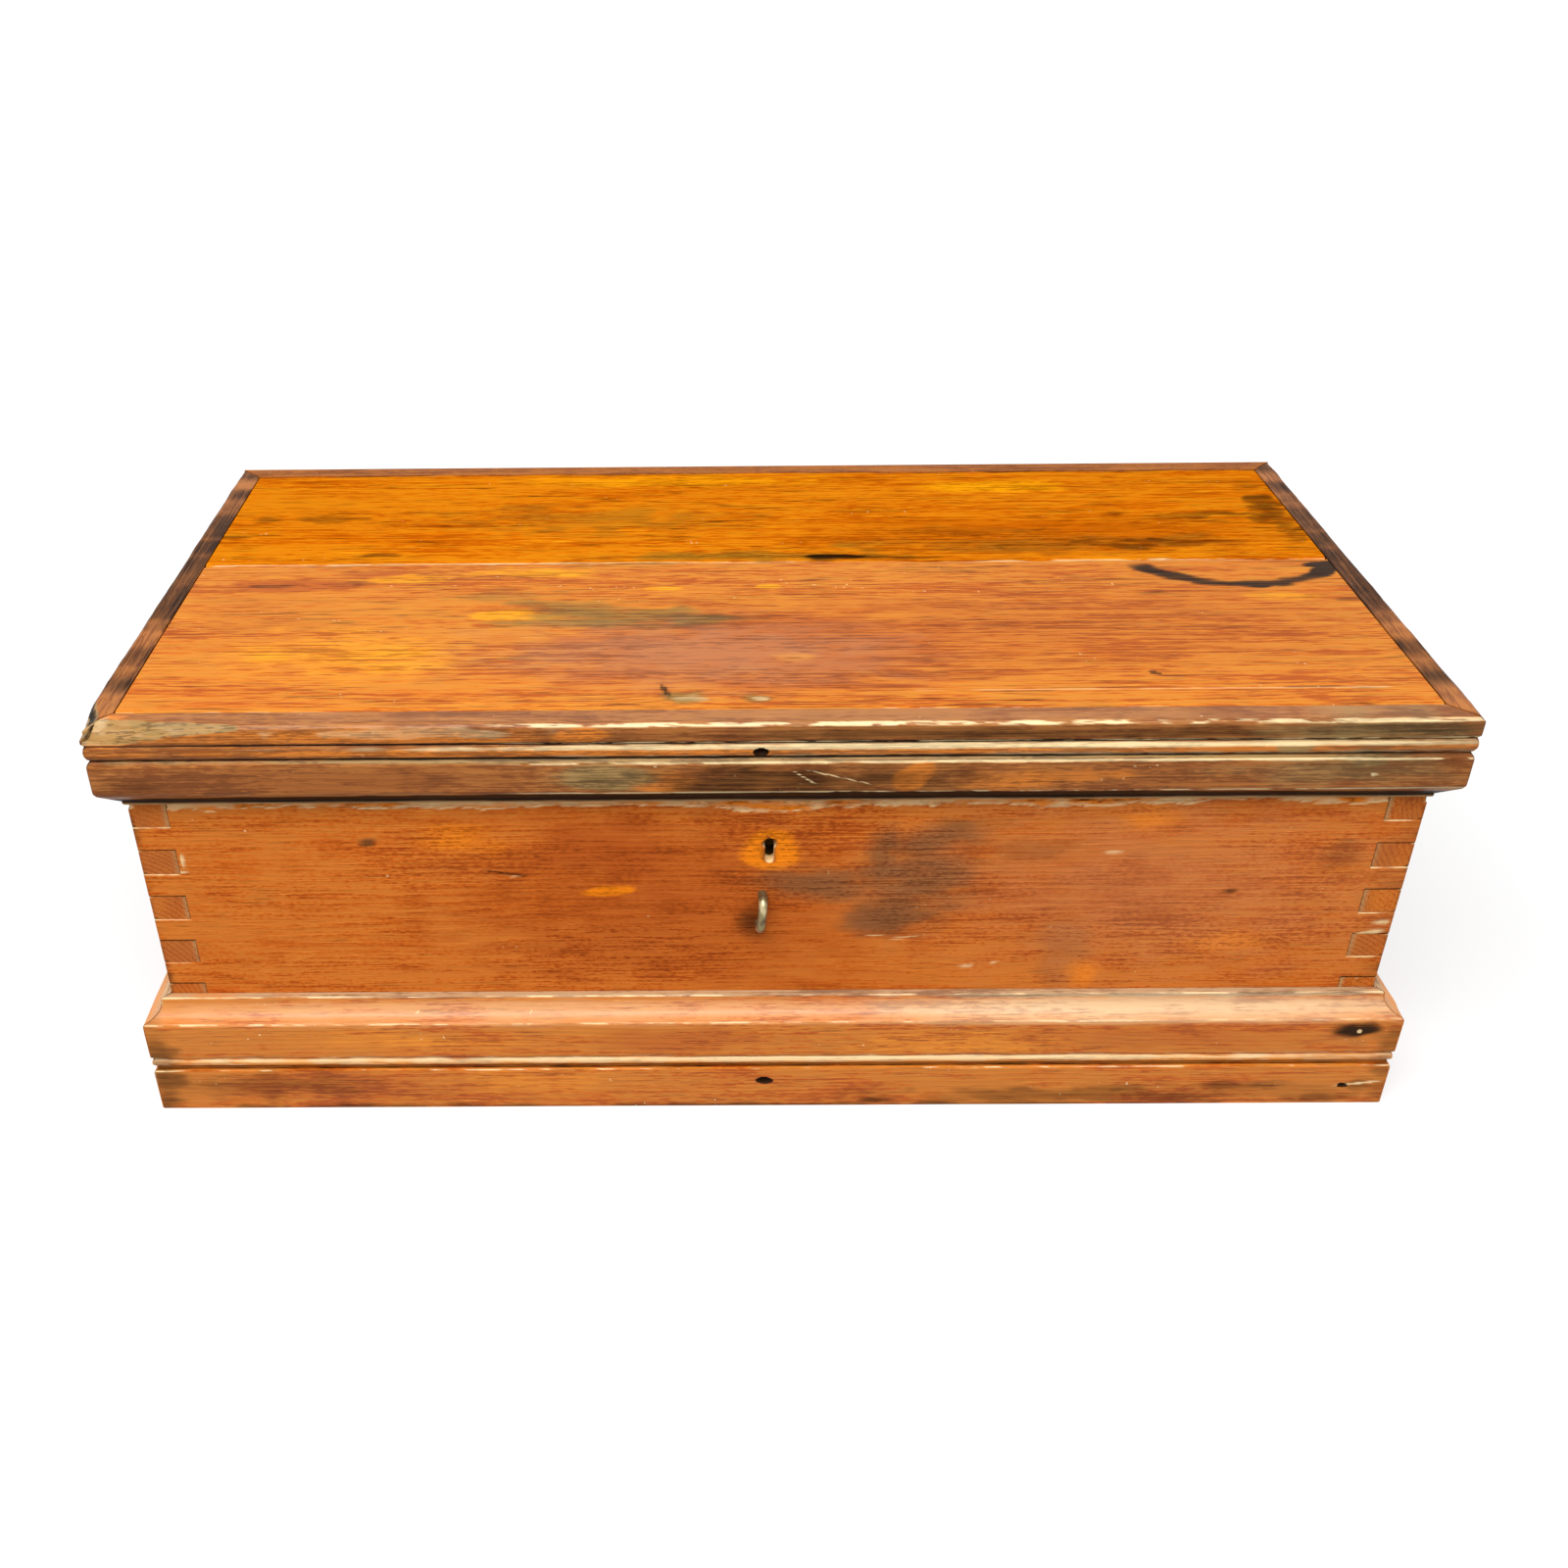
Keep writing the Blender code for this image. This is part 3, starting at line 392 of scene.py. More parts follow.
def carve(piece: bpy.types.Object, cutters: list[bpy.types.Object]) -> None:
    """Cuts each cutter out of a piece for good, and removes the cutters.

    Args:
        piece: What is cut.
        cutters: Closed shapes that overlap it.
    """
    for cutter in cutters:
        modifier = piece.modifiers.new(cutter.name, "BOOLEAN")
        modifier.operation = "DIFFERENCE"
        modifier.solver = "EXACT"
        modifier.object = cutter
    whole = piece.evaluated_get(bpy.context.evaluated_depsgraph_get())
    carved = bpy.data.meshes.new_from_object(whole)
    piece.modifiers.clear()
    piece.data = carved
    for cutter in cutters:
        bpy.data.objects.remove(cutter, do_unlink=True)


# Finishes

def linear(code: str) -> tuple[float, float, float, float]:
    """A colour in the linear values that shaders take.

    Args:
        code: The sRGB colour in hex, such as #C9661F.

    Returns:
        Red, green, blue and alpha.
    """
    parts = [int(code[i : i + 2], 16) / 255.0 for i in (1, 3, 5)]
    return (*(p / 12.92 if p <= 0.04045 else ((p + 0.055) / 1.055) ** 2.4 for p in parts), 1.0)


def live(node: bpy.types.Node) -> bpy.types.NodeSocket:
    """The node's first output that is in use."""
    return next(output for output in node.outputs if output.enabled)


def add_node(tree: bpy.types.NodeTree, kind: str, *inputs: object, **settings: object) -> bpy.types.Node:
    """Adds a node, sets its properties, and sets or links its inputs.

    Args:
        tree: The node tree that gets it.
        kind: The node's type name after ShaderNode.
        *inputs: For each live input in turn a value, a socket, or a node whose first live output is taken.
        **settings: Properties of the node.

    Returns:
        The node.
    """
    node = tree.nodes.new(f"ShaderNode{kind}")
    for name, value in settings.items():
        setattr(node, name, value)
    for socket, value in zip([socket for socket in node.inputs if socket.enabled], inputs):
        if isinstance(value, bpy.types.Node):
            value = live(value)
        if isinstance(value, bpy.types.NodeSocket):
            tree.links.new(value, socket)
        else:
            socket.default_value = value
    return node


def connect(tree: bpy.types.NodeTree, node: bpy.types.Node, sources: dict[str, bpy.types.Node]) -> None:
    """Feeds a node's sockets by their names.

    Args:
        tree: The node tree that holds it.
        node: The node that is fed.
        sources: For each socket's name the node that feeds it.
    """
    for name, source in sources.items():
        tree.links.new(live(source), node.inputs[name])


def new_material(name: str) -> tuple[bpy.types.Material, bpy.types.NodeTree, bpy.types.Node]:
    """A new node material.

    Args:
        name: Its name.

    Returns:
        The material, its tree and its Principled shader.
    """
    material = bpy.data.materials.new(name)
    material.use_nodes = True
    tree = material.node_tree
    return material, tree, tree.nodes["Principled BSDF"]


class Grain(Enum):
    """Which way the wood runs: the axis along it, then the two across it."""

    ALONG_X = ("X", "Y", "Z")
    ALONG_Y = ("Y", "X", "Z")


@dataclass(frozen=True)
class Pine:
    """Old pine, planed by hand and stained, its finish rubbed through by years of use.

    The eye gets growth rings and fine fibres, dark dashes where dirt sits in the pores, pale hairs that are
    partly painted glints, cloudy stain that turns from amber to red-brown, and the marks of use and of
    painted light, whose edges follow the fibres.
    """

    name: str
    light: str
    mid: str
    dark: str
    deep: str = "#4A1E06"
    warm: str = "#FFA01C"
    ruddy: str = "#A8521E"
    # grey-green scuffs, and also the colour of painted light on the lid's fillet
    bloom: str = "#8A7646"
    # the colour of the painted sheen
    haze: str = "#F2D2B0"
    # ink, grime and knots, and also the colour of painted shade in grooves and under the lid
    soot: str = "#20140A"
    # raw wood, and also the colour of painted highlights
    raw_and_highlight: str = "#EBCFA0"
    bare: str = "#D9B27C"
    bare_dark: str = "#A87945"
    end_light: str = "#C27038"
    end_dark: str = "#864624"
    ring: float = 3.4  # spacing of growth rings, mm
    fibre: Pair = (70.0, 1.2)  # length and width of a fibre streak, mm, wider than life so that it shows
    pore: Pair = (24.0, 0.9)  # length and width of a pore, mm, wider than life so that it shows
    grit: Pair = (8.0, 1.3)  # length and width of the smallest flecks in the stain, mm
    cloud: Pair = (150.0, 44.0)  # length and width of the clouds in the stain, mm
    mottle: Pair = (40.0, 10.0)  # length and width of its smaller smudges, mm
    speck: Pair = (2.6, 2.6)  # cells that may hold a speck of paint, mm, larger than life so that they show
    bend: Pair = (260.0, 70.0)  # length and width of the waves in the growth rings, mm
    sway: float = 16.0  # how far those waves carry a ring, mm
    relief: float = 0.5  # depth of the grain, mm
    contrast: float = 1.0  # strength of the whole pattern
    depth: float = 0.37  # mean tone of the stain, between light and dark
    streak: float = 1.4  # strength of fibres and flecks
    cloudy: float = 1.0  # strength of clouds and smudges
    dash: float = 0.5  # strength of dirt in the pores
    fray: float = 0.4  # how far the edges of marks follow the fibres
    gloss: float = 0.42  # roughness of the worn finish
    shine: float = 0.05  # specular level of the wood under it
    coat: float = 0.0  # weight of a coat of wax
    wax: float = 0.34  # roughness of that wax

    def material(self, grain: Grain) -> bpy.types.Material:
        """The finish on wood that runs a given way, made once.

        Args:
            grain: The way the wood runs.

        Returns:
            The material.
        """
        name = f"{self.name}_{grain.name.lower()}"
        made = bpy.data.materials.get(name)
        if made:
            return made
        made, tree, shader = new_material(name)
        add = partial(add_node, tree)
        rgb, smooth = {"data_type": "RGBA"}, {"interpolation_type": "SMOOTHSTEP"}
        plus, times = {"operation": "MULTIPLY_ADD"}, {"operation": "MULTIPLY"}
        coords = add("TexCoord")
        heart = add("Attribute", attribute_name="heart").outputs["Vector"]
        place = add("SeparateXYZ", add("VectorMath", coords.outputs["Object"], heart, operation="SUBTRACT"))
        along = add("CombineXYZ", *(place.outputs[axis] for axis in grain.value))

        # Noises drawn out along the grain, each with three unlike fields
        sizes = (self.fibre, self.pore, self.grit, self.cloud, self.mottle, self.speck, self.bend)
        fields = []
        for (length, width), detail in zip(sizes, (3.0, 2.0, 2.0, 3.0, 3.0, 0.0, 2.0)):
            scale = (1.0 / (length * MM), 1.0 / (width * MM), 1.0 / (width * MM))
            noise = add("TexNoise", add("VectorMath", along, scale, **times), 1.0, detail, 0.6)
            fields.append(add("SeparateColor", noise.outputs["Color"]).outputs)
        fibre, pore, grit, cloud, mottle, speck, bend = fields

        # Growth rings: distance from the heart, bent by slow noise, counted in ring spacings
        aside = add("CombineXYZ", 0.0, bend[0], bend[1])
        bent = add("VectorMath", aside, (self.sway * MM,) * 3, along, **plus)
        radius = add("VectorMath", add("VectorMath", bent, (0.0, 1.0, 1.0), **times), operation="LENGTH")
        turn = add("Math", add("Math", radius, 1.0 / (self.ring * MM), **times), operation="FRACT")
        fall = add("MapRange", turn, 0.9, 1.0, 1.0, 0.0, **smooth)
        late = add("Math", add("MapRange", turn, 0.35, 0.9, 0.0, 1.0, **smooth), fall, **times)

        # Tone of the stain from clouds, smudges, fibres, flecks and rings, and where it turns red-brown
        fine = self.streak * self.contrast
        clear = add("MapRange", cloud[2], 0.36, 0.62, 0.45, 1.15, **smooth)
        flecks = add("Math", grit[0], 1.3 * fine, -1.5 * fine, **plus)
        lines = add("Math", fibre[0], 1.7 * fine, flecks, **plus)
        tone = add("Math", lines, clear, self.depth - self.contrast * (1.05 * self.cloudy + 0.06), **plus)
        for source, weight in ((cloud[0], 1.1 * self.cloudy), (mottle[0], self.cloudy), (late, 0.12)):
            tone = add("Math", source, weight * self.contrast, tone, **plus)
        mid, dark = (add("MapRange", tone, *ends, **smooth) for ends in ((0.1, 0.55), (0.45, 0.95)))
        colour = add("Mix", mid, linear(self.light), linear(self.mid), **rgb)
        colour = add("Mix", dark, colour, linear(self.dark), **rgb)
        redder = add("Math", cloud[1], 1.0, add("Math", fibre[1], 0.35, -0.17, **plus), operation="ADD")
        redder = add("MapRange", redder, 0.42, 0.7, 0.0, 0.6 * self.contrast, **smooth)
        colour = add("Mix", redder, colour, linear(self.ruddy), **rgb)
        dirty, clean = (add("MapRange", mottle[k], 0.42, 0.62, **smooth) for k in (1, 2))
        dashes = add("Math", add("MapRange", pore[0], 0.52, 0.7, 0.0, self.dash, **smooth), dirty, **times)
        colour = add("Mix", dashes, colour, linear(self.deep), **rgb)
        # Pale hairs along the grain, partly painted glints of light on it
        hairs_and_glints = add("Math", add("MapRange", pore[1], 0.58, 0.74, 0.0, 0.6, **smooth), clean, **times)
        colour = add("Mix", hairs_and_glints, colour, linear(self.light), **rgb)
        dots = add("MapRange", speck[0], 0.78, 0.82, 0.0, 0.7, **smooth)
        dots = add("Math", dots, add("MapRange", mottle[1], 0.6, 0.64, **smooth), **times)
        colour = add("Mix", dots, colour, linear(self.raw_and_highlight), **rgb)

        # Bare faces, and end grain that took up more stain in some places than in others
        faint = add("MapRange", tone, -1.2, 2.2, **smooth)
        planed = add("Mix", faint, linear(self.bare), linear(self.bare_dark), **rgb)
        bare = add("Attribute", attribute_name=Mark.BARE.value).outputs["Fac"]
        colour = add("Mix", bare, colour, planed, **rgb)
        facing = add("SeparateXYZ", coords.outputs["Normal"]).outputs[grain.value[0]]
        square = add("MapRange", add("Math", facing, operation="ABSOLUTE"), 0.7, 0.9, **smooth)
        soaked = add("Math", late, 0.45, add("Math", cloud[2], 0.6, **times), **plus)
        sawn = add("Mix", soaked, linear(self.end_light), linear(self.end_dark), **rgb)
        opened = add("Math", square, add("MapRange", cloud[1], 0.38, 0.6, 0.1, 0.65), **times)
        colour = add("Mix", opened, colour, sawn, **rgb)

        # Marks of use and painted shade, highlight and sheen, with edges that follow the fibres: colour,
        # most cover, brightness left in dark grain
        paints = {
            Mark.RUDDY: (self.ruddy, 0.85, 0.5),
            Mark.WARM: (self.warm, 0.85, 0.5),
            Mark.BLOOM: (self.bloom, 0.8, 0.5),
            Mark.HAZE: (self.haze, 0.8, 0.7),
            Mark.SOOT: (self.soot, 0.97, 0.6),
            Mark.PALE: (self.raw_and_highlight, 0.95, 0.75),
        }
        frayed = add("Math", fibre[2], 1.6 * self.fray, 1.0 - 1.5 * self.fray, **plus)
        frayed = add("Math", mottle[2], 1.4 * self.fray, frayed, **plus)
        edges = (0.05 + 0.2 * self.fray, 1.0 - 0.25 * self.fray)
        shares = {}
        for mark, (shade, most, left) in paints.items():
            cover = add("Attribute", attribute_name=mark.value).outputs["Fac"]
            # The painted sheen has no frayed edge
            if mark is Mark.HAZE:
                shares[mark] = add("MapRange", cover, 0.0, 1.0, 0.0, most, **smooth)
            else:
                torn = add("Math", cover, frayed, **times)
                shares[mark] = add("MapRange", torn, *edges, 0.0, most, **smooth)
            full = linear(shade)
            dimmed = (*(part * left for part in full[:3]), 1.0)
            shaded = add("Mix", add("MapRange", tone, 0.2, 0.85, **smooth), full, dimmed, **rgb)
            colour = add("Mix", shares[mark], colour, shaded, **rgb)

        # Worn places are rougher, and pores and late wood lie lower
        worn = add("Math", fibre[0], 0.25, add("Math", bare, 0.3, self.gloss - 0.1, **plus), **plus)
        worn = add("Math", shares[Mark.PALE], 0.2, worn, **plus)
        waxed = add("Math", shares[Mark.SOOT], -self.coat, self.coat, **plus)
        grooves = add("Math", fibre[0], 1.2, add("Math", late, 0.5, **times), **plus)
        bump = add("Bump", 0.5, self.relief * MM)
        connect(tree, bump, {"Height": add("Math", dashes, -1.2, grooves, **plus)})
        shader.inputs["Specular IOR Level"].default_value = self.shine
        shader.inputs["Coat Roughness"].default_value = self.wax
        looks = {"Base Color": colour, "Roughness": worn, "Coat Weight": waxed, "Normal": bump}
        connect(tree, shader, looks)
        return made


@dataclass(frozen=True)
class OldMetal:
    """Forged or cast metal left to age: a dark skin, patches of rust or tarnish, rubbed bright places."""

    name: str
    skin: str
    patch: str
    bright: str
    metallic: float
    roughness: float
    patch_size: float = 7.0  # mm across a patch
    rub_size: float = 16.0  # mm across a rubbed place
    pit_size: float = 1.4  # mm across a pit
    relief: float = 0.3  # depth of the pits, mm

    def material(self) -> bpy.types.Material:
        """The finish, made once.

        Returns:
            The material.
        """
        made = bpy.data.materials.get(self.name)
        if made:
            return made
        made, tree, shader = new_material(self.name)
        add = partial(add_node, tree)
        rgb, smooth = {"data_type": "RGBA"}, {"interpolation_type": "SMOOTHSTEP"}
        coords = add("TexCoord").outputs["Object"]
        patches = add("TexNoise", coords, 1.0 / (self.patch_size * MM), 4.0)
        rubbed = add("TexNoise", coords, 1.0 / (self.rub_size * MM), 2.0)
        pits = add("TexNoise", coords, 1.0 / (self.pit_size * MM), 2.0)
        rust = add("MapRange", patches, 0.48, 0.66, **smooth)
        colour = add("Mix", rust, linear(self.skin), linear(self.patch), **rgb)
        shiny = add("MapRange", rubbed, 0.5, 0.7, 0.0, 0.75, **smooth)
        colour = add("Mix", shiny, colour, linear(self.bright), **rgb)
        metal = add("MapRange", rust, 0.0, 1.0, self.metallic, self.metallic * 0.35)
        dull = add("Math", pits, 0.25, self.roughness - 0.1, operation="MULTIPLY_ADD")
        bump = add("Bump", 0.35, self.relief * MM)
        connect(tree, bump, {"Height": pits})
        connect(tree, shader, {"Base Color": colour, "Metallic": metal, "Roughness": dull, "Normal": bump})
        return made


# Shellac over amber stain, rubbed brightest, with a painted sheen in its paler, greyer colours: the lid's
# front board
SHEENED_LID_FRONT_PINE = Pine(
    "lid_pine_amber_painted_sheen", "#FFB63C", "#F88E1E", "#A04A0E", warm="#FFA81C", ruddy="#B85A22", bloom="#806A34",
    raw_and_highlight="#F6D6A0", haze="#B48C6C", fibre=(110.0, 1.5), pore=(36.0, 1.3), grit=(14.0, 1.6),
    cloud=(190.0, 34.0), mottle=(64.0, 11.0), contrast=1.1, depth=0.34, streak=2.8, cloudy=1.6, dash=0.9,
    fray=0.7,
)
# The same stain, taken up redder, without the front board's painted sheen and the shellac's gleam: the lid's
# rear board
LID_REAR_PINE = replace(
    SHEENED_LID_FRONT_PINE, name="lid_pine_red_amber", light="#FFB01C", mid="#FA8806", dark="#A04A04",
    warm="#FFA60C", ruddy="#C45C04", bloom="#86601A", haze="#F2D2B0", depth=0.33, streak=3.0, cloudy=1.8,
    dash=1.0, shine=0.0,
)
# Red-brown stain, darker in the clouds: the four walls
WALL_PINE = Pine(
    "wall_pine_stained", "#FFA242", "#F28024", "#A24A14", warm="#FF8C14", ruddy="#B04E1A", bloom="#7C5434",
    raw_and_highlight="#F6D29A", haze="#D08C62", fibre=(42.0, 1.2), grit=(4.0, 1.5), mottle=(34.0, 13.0), cloudy=1.15,
    depth=0.34, streak=1.7, dash=0.45, fray=0.25, shine=0.03,
)
# Brown-black stain under wax: the lid's mouldings
RIM_PINE = Pine(
    "rim_pine_dark", "#D8964C", "#A46C36", "#54300F", deep="#1E0C04", warm="#E08028", ruddy="#94501E",
    bloom="#A08450", soot="#0C0502", raw_and_highlight="#F8DCA6", contrast=1.2, depth=0.4, streak=2.2, cloudy=2.3,
    coat=0.3, fray=0.55,
)
# The same stain with its wax rubbed off, warmer: the lid's back strip
BACK_RIM_PINE = replace(RIM_PINE, name="rim_pine_rubbed", light="#E08C38", mid="#A8642A", coat=0.0)
# The same stain as the walls, scuffed by boots: the plinth
PLINTH_PINE = Pine(
    "plinth_pine_stained", "#FFB044", "#FA8E22", "#AC500C", warm="#FF9C2C", ruddy="#BA5612", bloom="#B6A280",
    raw_and_highlight="#FFDCA6", haze="#F2DEB4", contrast=1.1, depth=0.22, streak=2.2, cloudy=2.3, coat=0.45,
)
# Pine left as planed, yellowed and dusty: the inside
BARE_PINE = Pine(
    "inside_pine_bare", "#E2BF8C", "#CFA36A", "#AB7C48", deep="#7A5230", ruddy="#BE8E56", gloss=0.6,
    contrast=0.6,
)
# Wrought iron with a black oxide skin and brown rust
IRON = OldMetal("wrought_iron_aged", "#4A443A", "#5B4030", "#8C8472", 0.85, 0.5)
# The same iron, greased and rubbed by a hasp to an olive grey
STAPLE_IRON = OldMetal(
    "wrought_iron_rubbed", "#8A7C58", "#5E482C", "#D8C89C", 0.7, 0.34, patch_size=5.0, rub_size=9.0,
)
# Cast brass gone brown, rubbed yellow in places
BRASS = OldMetal("lock_brass_tarnished", "#8A6B33", "#5A4526", "#C9A45A", 0.95, 0.42, patch_size=9.0)


# Timber

@dataclass(frozen=True)
class Section:
    """Outline of a length of timber as (across, up) points in millimetres, with what wear does to each.

    The crisp outline is blurred by less than half a millimetre and the worn one by almost three. Where an
    outline blurred by one lies inside the crisp one there is an arris, and where it lies outside a hollow.
    """

    crisp: Array
    worn: Array
    outward: Array
    arris: Array
    hollow: Array
    bare: Array

    @classmethod
    def of(cls, shown: list[Pair], hidden: list[Pair], step: float) -> Section:
        """Works a section out from its outline.

        Args:
            shown: The stretch that is seen, which gets close points.
            hidden: The rest of the closed outline, kept as it is and left bare.
            step: Widest gap between shown points, mm.

        Returns:
            The section.
        """
        line = subdivided(np.array(shown, dtype=float), step)
        crisp, eased, worn = (blurred(line, spread) for spread in ROUNDING)
        rest = np.array(hidden, dtype=float).reshape(-1, 2)
        whole = np.concatenate([crisp, rest])
        after = np.roll(whole, -1, axis=0)
        area = np.sum(whole[:, 0] * after[:, 1] - after[:, 0] * whole[:, 1])
        tangent = np.gradient(crisp, axis=0)
        outward = np.stack([tangent[:, 1], -tangent[:, 0]], axis=1) * np.sign(area)
        outward /= np.maximum(np.linalg.norm(outward, axis=1, keepdims=True), 1e-9)
        pull = np.sum((eased - crisp) * outward, axis=1)
        blank = np.zeros(len(rest))
        return cls(
            crisp=whole,
            worn=np.concatenate([worn, rest]),
            outward=np.concatenate([outward, np.zeros_like(rest)]),
            arris=np.concatenate([np.clip(-pull / FULL_ARRIS, 0.0, 1.0), blank]),
            hollow=np.concatenate([np.clip(pull / FULL_HOLLOW, 0.0, 1.0), blank]),
            bare=np.concatenate([np.zeros(len(line)), blank + 1.0]),
        )


@dataclass(frozen=True)
class Splinter:
    """A sliver split off an upper arris: a slope from the face to the top, widest where it starts."""

    start: float
    stop: float
    height: float
    width: float
    taper: float = 0.75  # below one it keeps its width for longer
    uneven: float = 0.22
    bite: Pair = (9.0, 5.0)  # length and height of the bites in its edge
    seed: int = 31

    def cut(self, s: Array, a: Array, b: Array, top: float) -> tuple[Array, Array, Array]:
        """Moves the points that stand proud of the slope a/width + (top - b)/height = 1 back onto it.

        Args:
            s, a, b: Place along, distance in from the face and height of each point.
            top: Height of the arris.

        Returns:
            The new distances in, the new heights, and how much of each point is broken wood.
        """
        share = np.clip((self.stop - s) / (self.stop - self.start), 0.0, 1.0) ** self.taper
        ragged = 1.0 + self.uneven * rough(s / self.bite[0], b / self.bite[1], self.seed)
        high = np.maximum(self.height * share * ragged, 1e-6)
        wide = np.maximum(self.width * share * ragged, 1e-6)
        proud = np.clip(1.0 - a / wide - (top - b) / high, 0.0, None) * (share > 0.01)
        scale = proud / (wide**2 + high**2)
        return a + scale * wide * high**2, b - scale * high * wide**2, ease(proud * 8.0)


@dataclass
class Stock:
    """A straight length of timber: its section carried along a line, worn on its arrises.

    A point is origin + s·along + a·across + b·up, where s runs between the ends, which draw in by the
    mitre's share of a. Wear moves a point from the crisp section to the worn one, by a random field that is
    strong on arrises.
    """

    name: str
    section: Section
    origin: Triple
    along: Triple
    across: Triple
    half: float
    view: tuple[int, int]
    heart: Triple
    seed: int
    mitre: float = 0.0
    spacing: float = 2.4
    wear: float = 0.35  # mean share of wear on the arrises
    paleness: float = 0.8  # how far wear shows raw wood
    worn_from: float = -math.inf  # place along it where the palest wear begins
    knocked: float = 22.0  # length at each end that takes more knocks
    square: float = 0.7  # length over which a sawn end is eased
    sawn: float = 0.45  # how far that end is drawn in
    patch: Pair = (26.0, 9.0)  # length and width of the worn patches
    wave: Pair = (80.0, 25.0)  # length and width of the waves left by the plane
    wave_depth: float = 0.14  # mean depth of those waves
    fleck: Pair = (9.0, 1.8)  # length and width of the flecks in worn places
    spots: tuple[Spot, ...] = ()
    pits: tuple[Spot, ...] = ()
    splinters: tuple[Splinter, ...] = ()

    def stations(self) -> Array:
        """Places along the piece, closer together round its pits.

        Returns:
            The places from end to end.
        """
        even = np.linspace(-self.half, self.half, int(2 * self.half / self.spacing) + 1)
        close = [pit.at[0] + np.linspace(-2.0, 2.0, 17) * pit.half[0] for pit in self.pits]
        ends = np.array([-self.half + self.square, self.half - self.square])
        lines = np.unique(np.round(np.concatenate([even, ends, *close]), 3))
        return lines[np.abs(lines) <= self.half]

    def build(self) -> bpy.types.Object:
        """Carries the section along the stations, wears it and paints its marks.

        Returns:
            The piece.
        """
        section, line = self.section, self.stations()
        t = (line / self.half)[:, None]
        run = np.arange(len(section.crisp)) * OUTLINE_GAP
        past = np.abs(line) - self.half

        # Wear on the arrises, in patches and more near the ends, then the plane's waves and the sawn ends
        knocks = 0.5 * ease(past / self.knocked + 1.0)[:, None]
        patches = rough(line[:, None] / self.patch[0], run[None, :] / self.patch[1], self.seed)
        field_wear = np.clip(self.wear + 0.75 * patches + knocks, 0.0, 1.0)
        share = (field_wear * section.arris)[:, :, None]
        outline = section.crisp + share * (section.worn - section.crisp)
        waves = rough(line[:, None] / self.wave[0], run[None, :] / self.wave[1], self.seed + 9)
        waves = self.wave_depth * (1.0 + waves)
        ends = self.sawn * (1.0 - self.mitre) * ease(past / self.square + 1.0)
        outline = outline - section.outward * (waves + ends[:, None])[:, :, None]
        a, b = outline[:, :, 0], outline[:, :, 1]
        s = t * (self.half - self.mitre * section.crisp[:, 0])
        broken = np.zeros_like(s)

        # Slivers split off, then nail holes
        for splinter in self.splinters:
            a, b, fresh = splinter.cut(s, a, b, section.crisp[:, 1].max())
            broken = np.maximum(broken, fresh * (1.0 - section.bare))
        along, across = np.array(self.along), np.array(self.across)
        place = np.array(self.origin) + s[..., None] * along + a[..., None] * across
        place[..., 2] += b
        u, v = place[..., self.view[0]], place[..., self.view[1]]
        outward = across * section.outward[:, :1] + np.array((0.0, 0.0, 1.0)) * section.outward[:, 1:]
        for pit in self.pits:
            hole = ease((1.15 - pit.reach(u, v)) / 0.35)
            place = place - (pit.depth * hole * (1.0 - section.bare))[..., None] * outward

        # Marks: raw wood on worn arrises, which also stands for a painted highlight there, darker in
        # hollows, grime in holes, broken wood grey, tan and pale
        marks = painted(u, v, self.spots)
        flecks = rough(line[:, None] / self.fleck[0], run[None, :] / self.fleck[1], self.seed + 20, 4)
        # Raw wood where the arrises are worn, also a painted highlight along them
        rubbed = section.arris * ease((field_wear + 0.9 * flecks - 0.25) / 0.6) * self.paleness
        rubbed = rubbed * (1.0 - 0.7 * ease((self.worn_from - s) / 60.0))
        # Darker in the hollows of the section
        hollow_dark = section.hollow * (0.75 + 0.25 * flecks)
        torn = np.maximum(4.0 * broken * (1.0 - broken), broken * ease(2.2 * flecks - 0.5))
        marks[Mark.PALE] = np.maximum.reduce([marks[Mark.PALE], rubbed * (1.0 - broken), 0.3 * torn])
        marks[Mark.BLOOM] = np.maximum(marks[Mark.BLOOM], broken)
        marks[Mark.WARM] = np.maximum(marks[Mark.WARM], broken * ease(-2.0 * flecks))
        dirty = [pit.cover(u, v) for pit in self.pits]
        marks[Mark.SOOT] = np.maximum.reduce([marks[Mark.SOOT], hollow_dark, *dirty])
        marks = {mark: cover * (1.0 - section.bare) for mark, cover in marks.items()}
        marks[Mark.BARE] = np.broadcast_to(section.bare, s.shape)
        faces = tube_faces(len(line), len(section.crisp))
        return make_piece(self.name, place.reshape(-1, 3), faces, marks, self.heart)


class Side(Enum):
    """A side of the chest: its name, the direction along it and the direction in from it."""

    FRONT = ("front", (1.0, 0.0, 0.0), (0.0, 1.0, 0.0))
    BACK = ("back", (1.0, 0.0, 0.0), (0.0, -1.0, 0.0))
    LEFT = ("left", (0.0, 1.0, 0.0), (1.0, 0.0, 0.0))
    RIGHT = ("right", (0.0, 1.0, 0.0), (-1.0, 0.0, 0.0))

    def stock(self, node: str, section: Section, **traits: object) -> Stock:
        """A mitred length that stands for a CAD node on this side.

        Args:
            node: The node whose box gives its place and length.
            section: Outline, with distances in from the node's outer face and heights.
            **traits: Other fields of the stock.

        Returns:
            The stock, not yet built.
        """
        _, along, across = self.value
        low, high = node_box(node)
        axis = int(np.argmax(np.abs(along)))
        face = 1 - axis
        outer = low[face] if across[face] > 0 else high[face]
        origin = [0.0, 0.0, 0.0]
        origin[face] = outer
        return Stock(
            name=f"worn_{node}", section=section, origin=tuple(origin), along=along, across=across,
            half=high[axis], view=(axis, 2), mitre=1.0, **traits,
        )

    @property
    def grain(self) -> Grain:
        """The way the wood of a length on this side runs."""
        return Grain.ALONG_X if self.value[1][0] else Grain.ALONG_Y


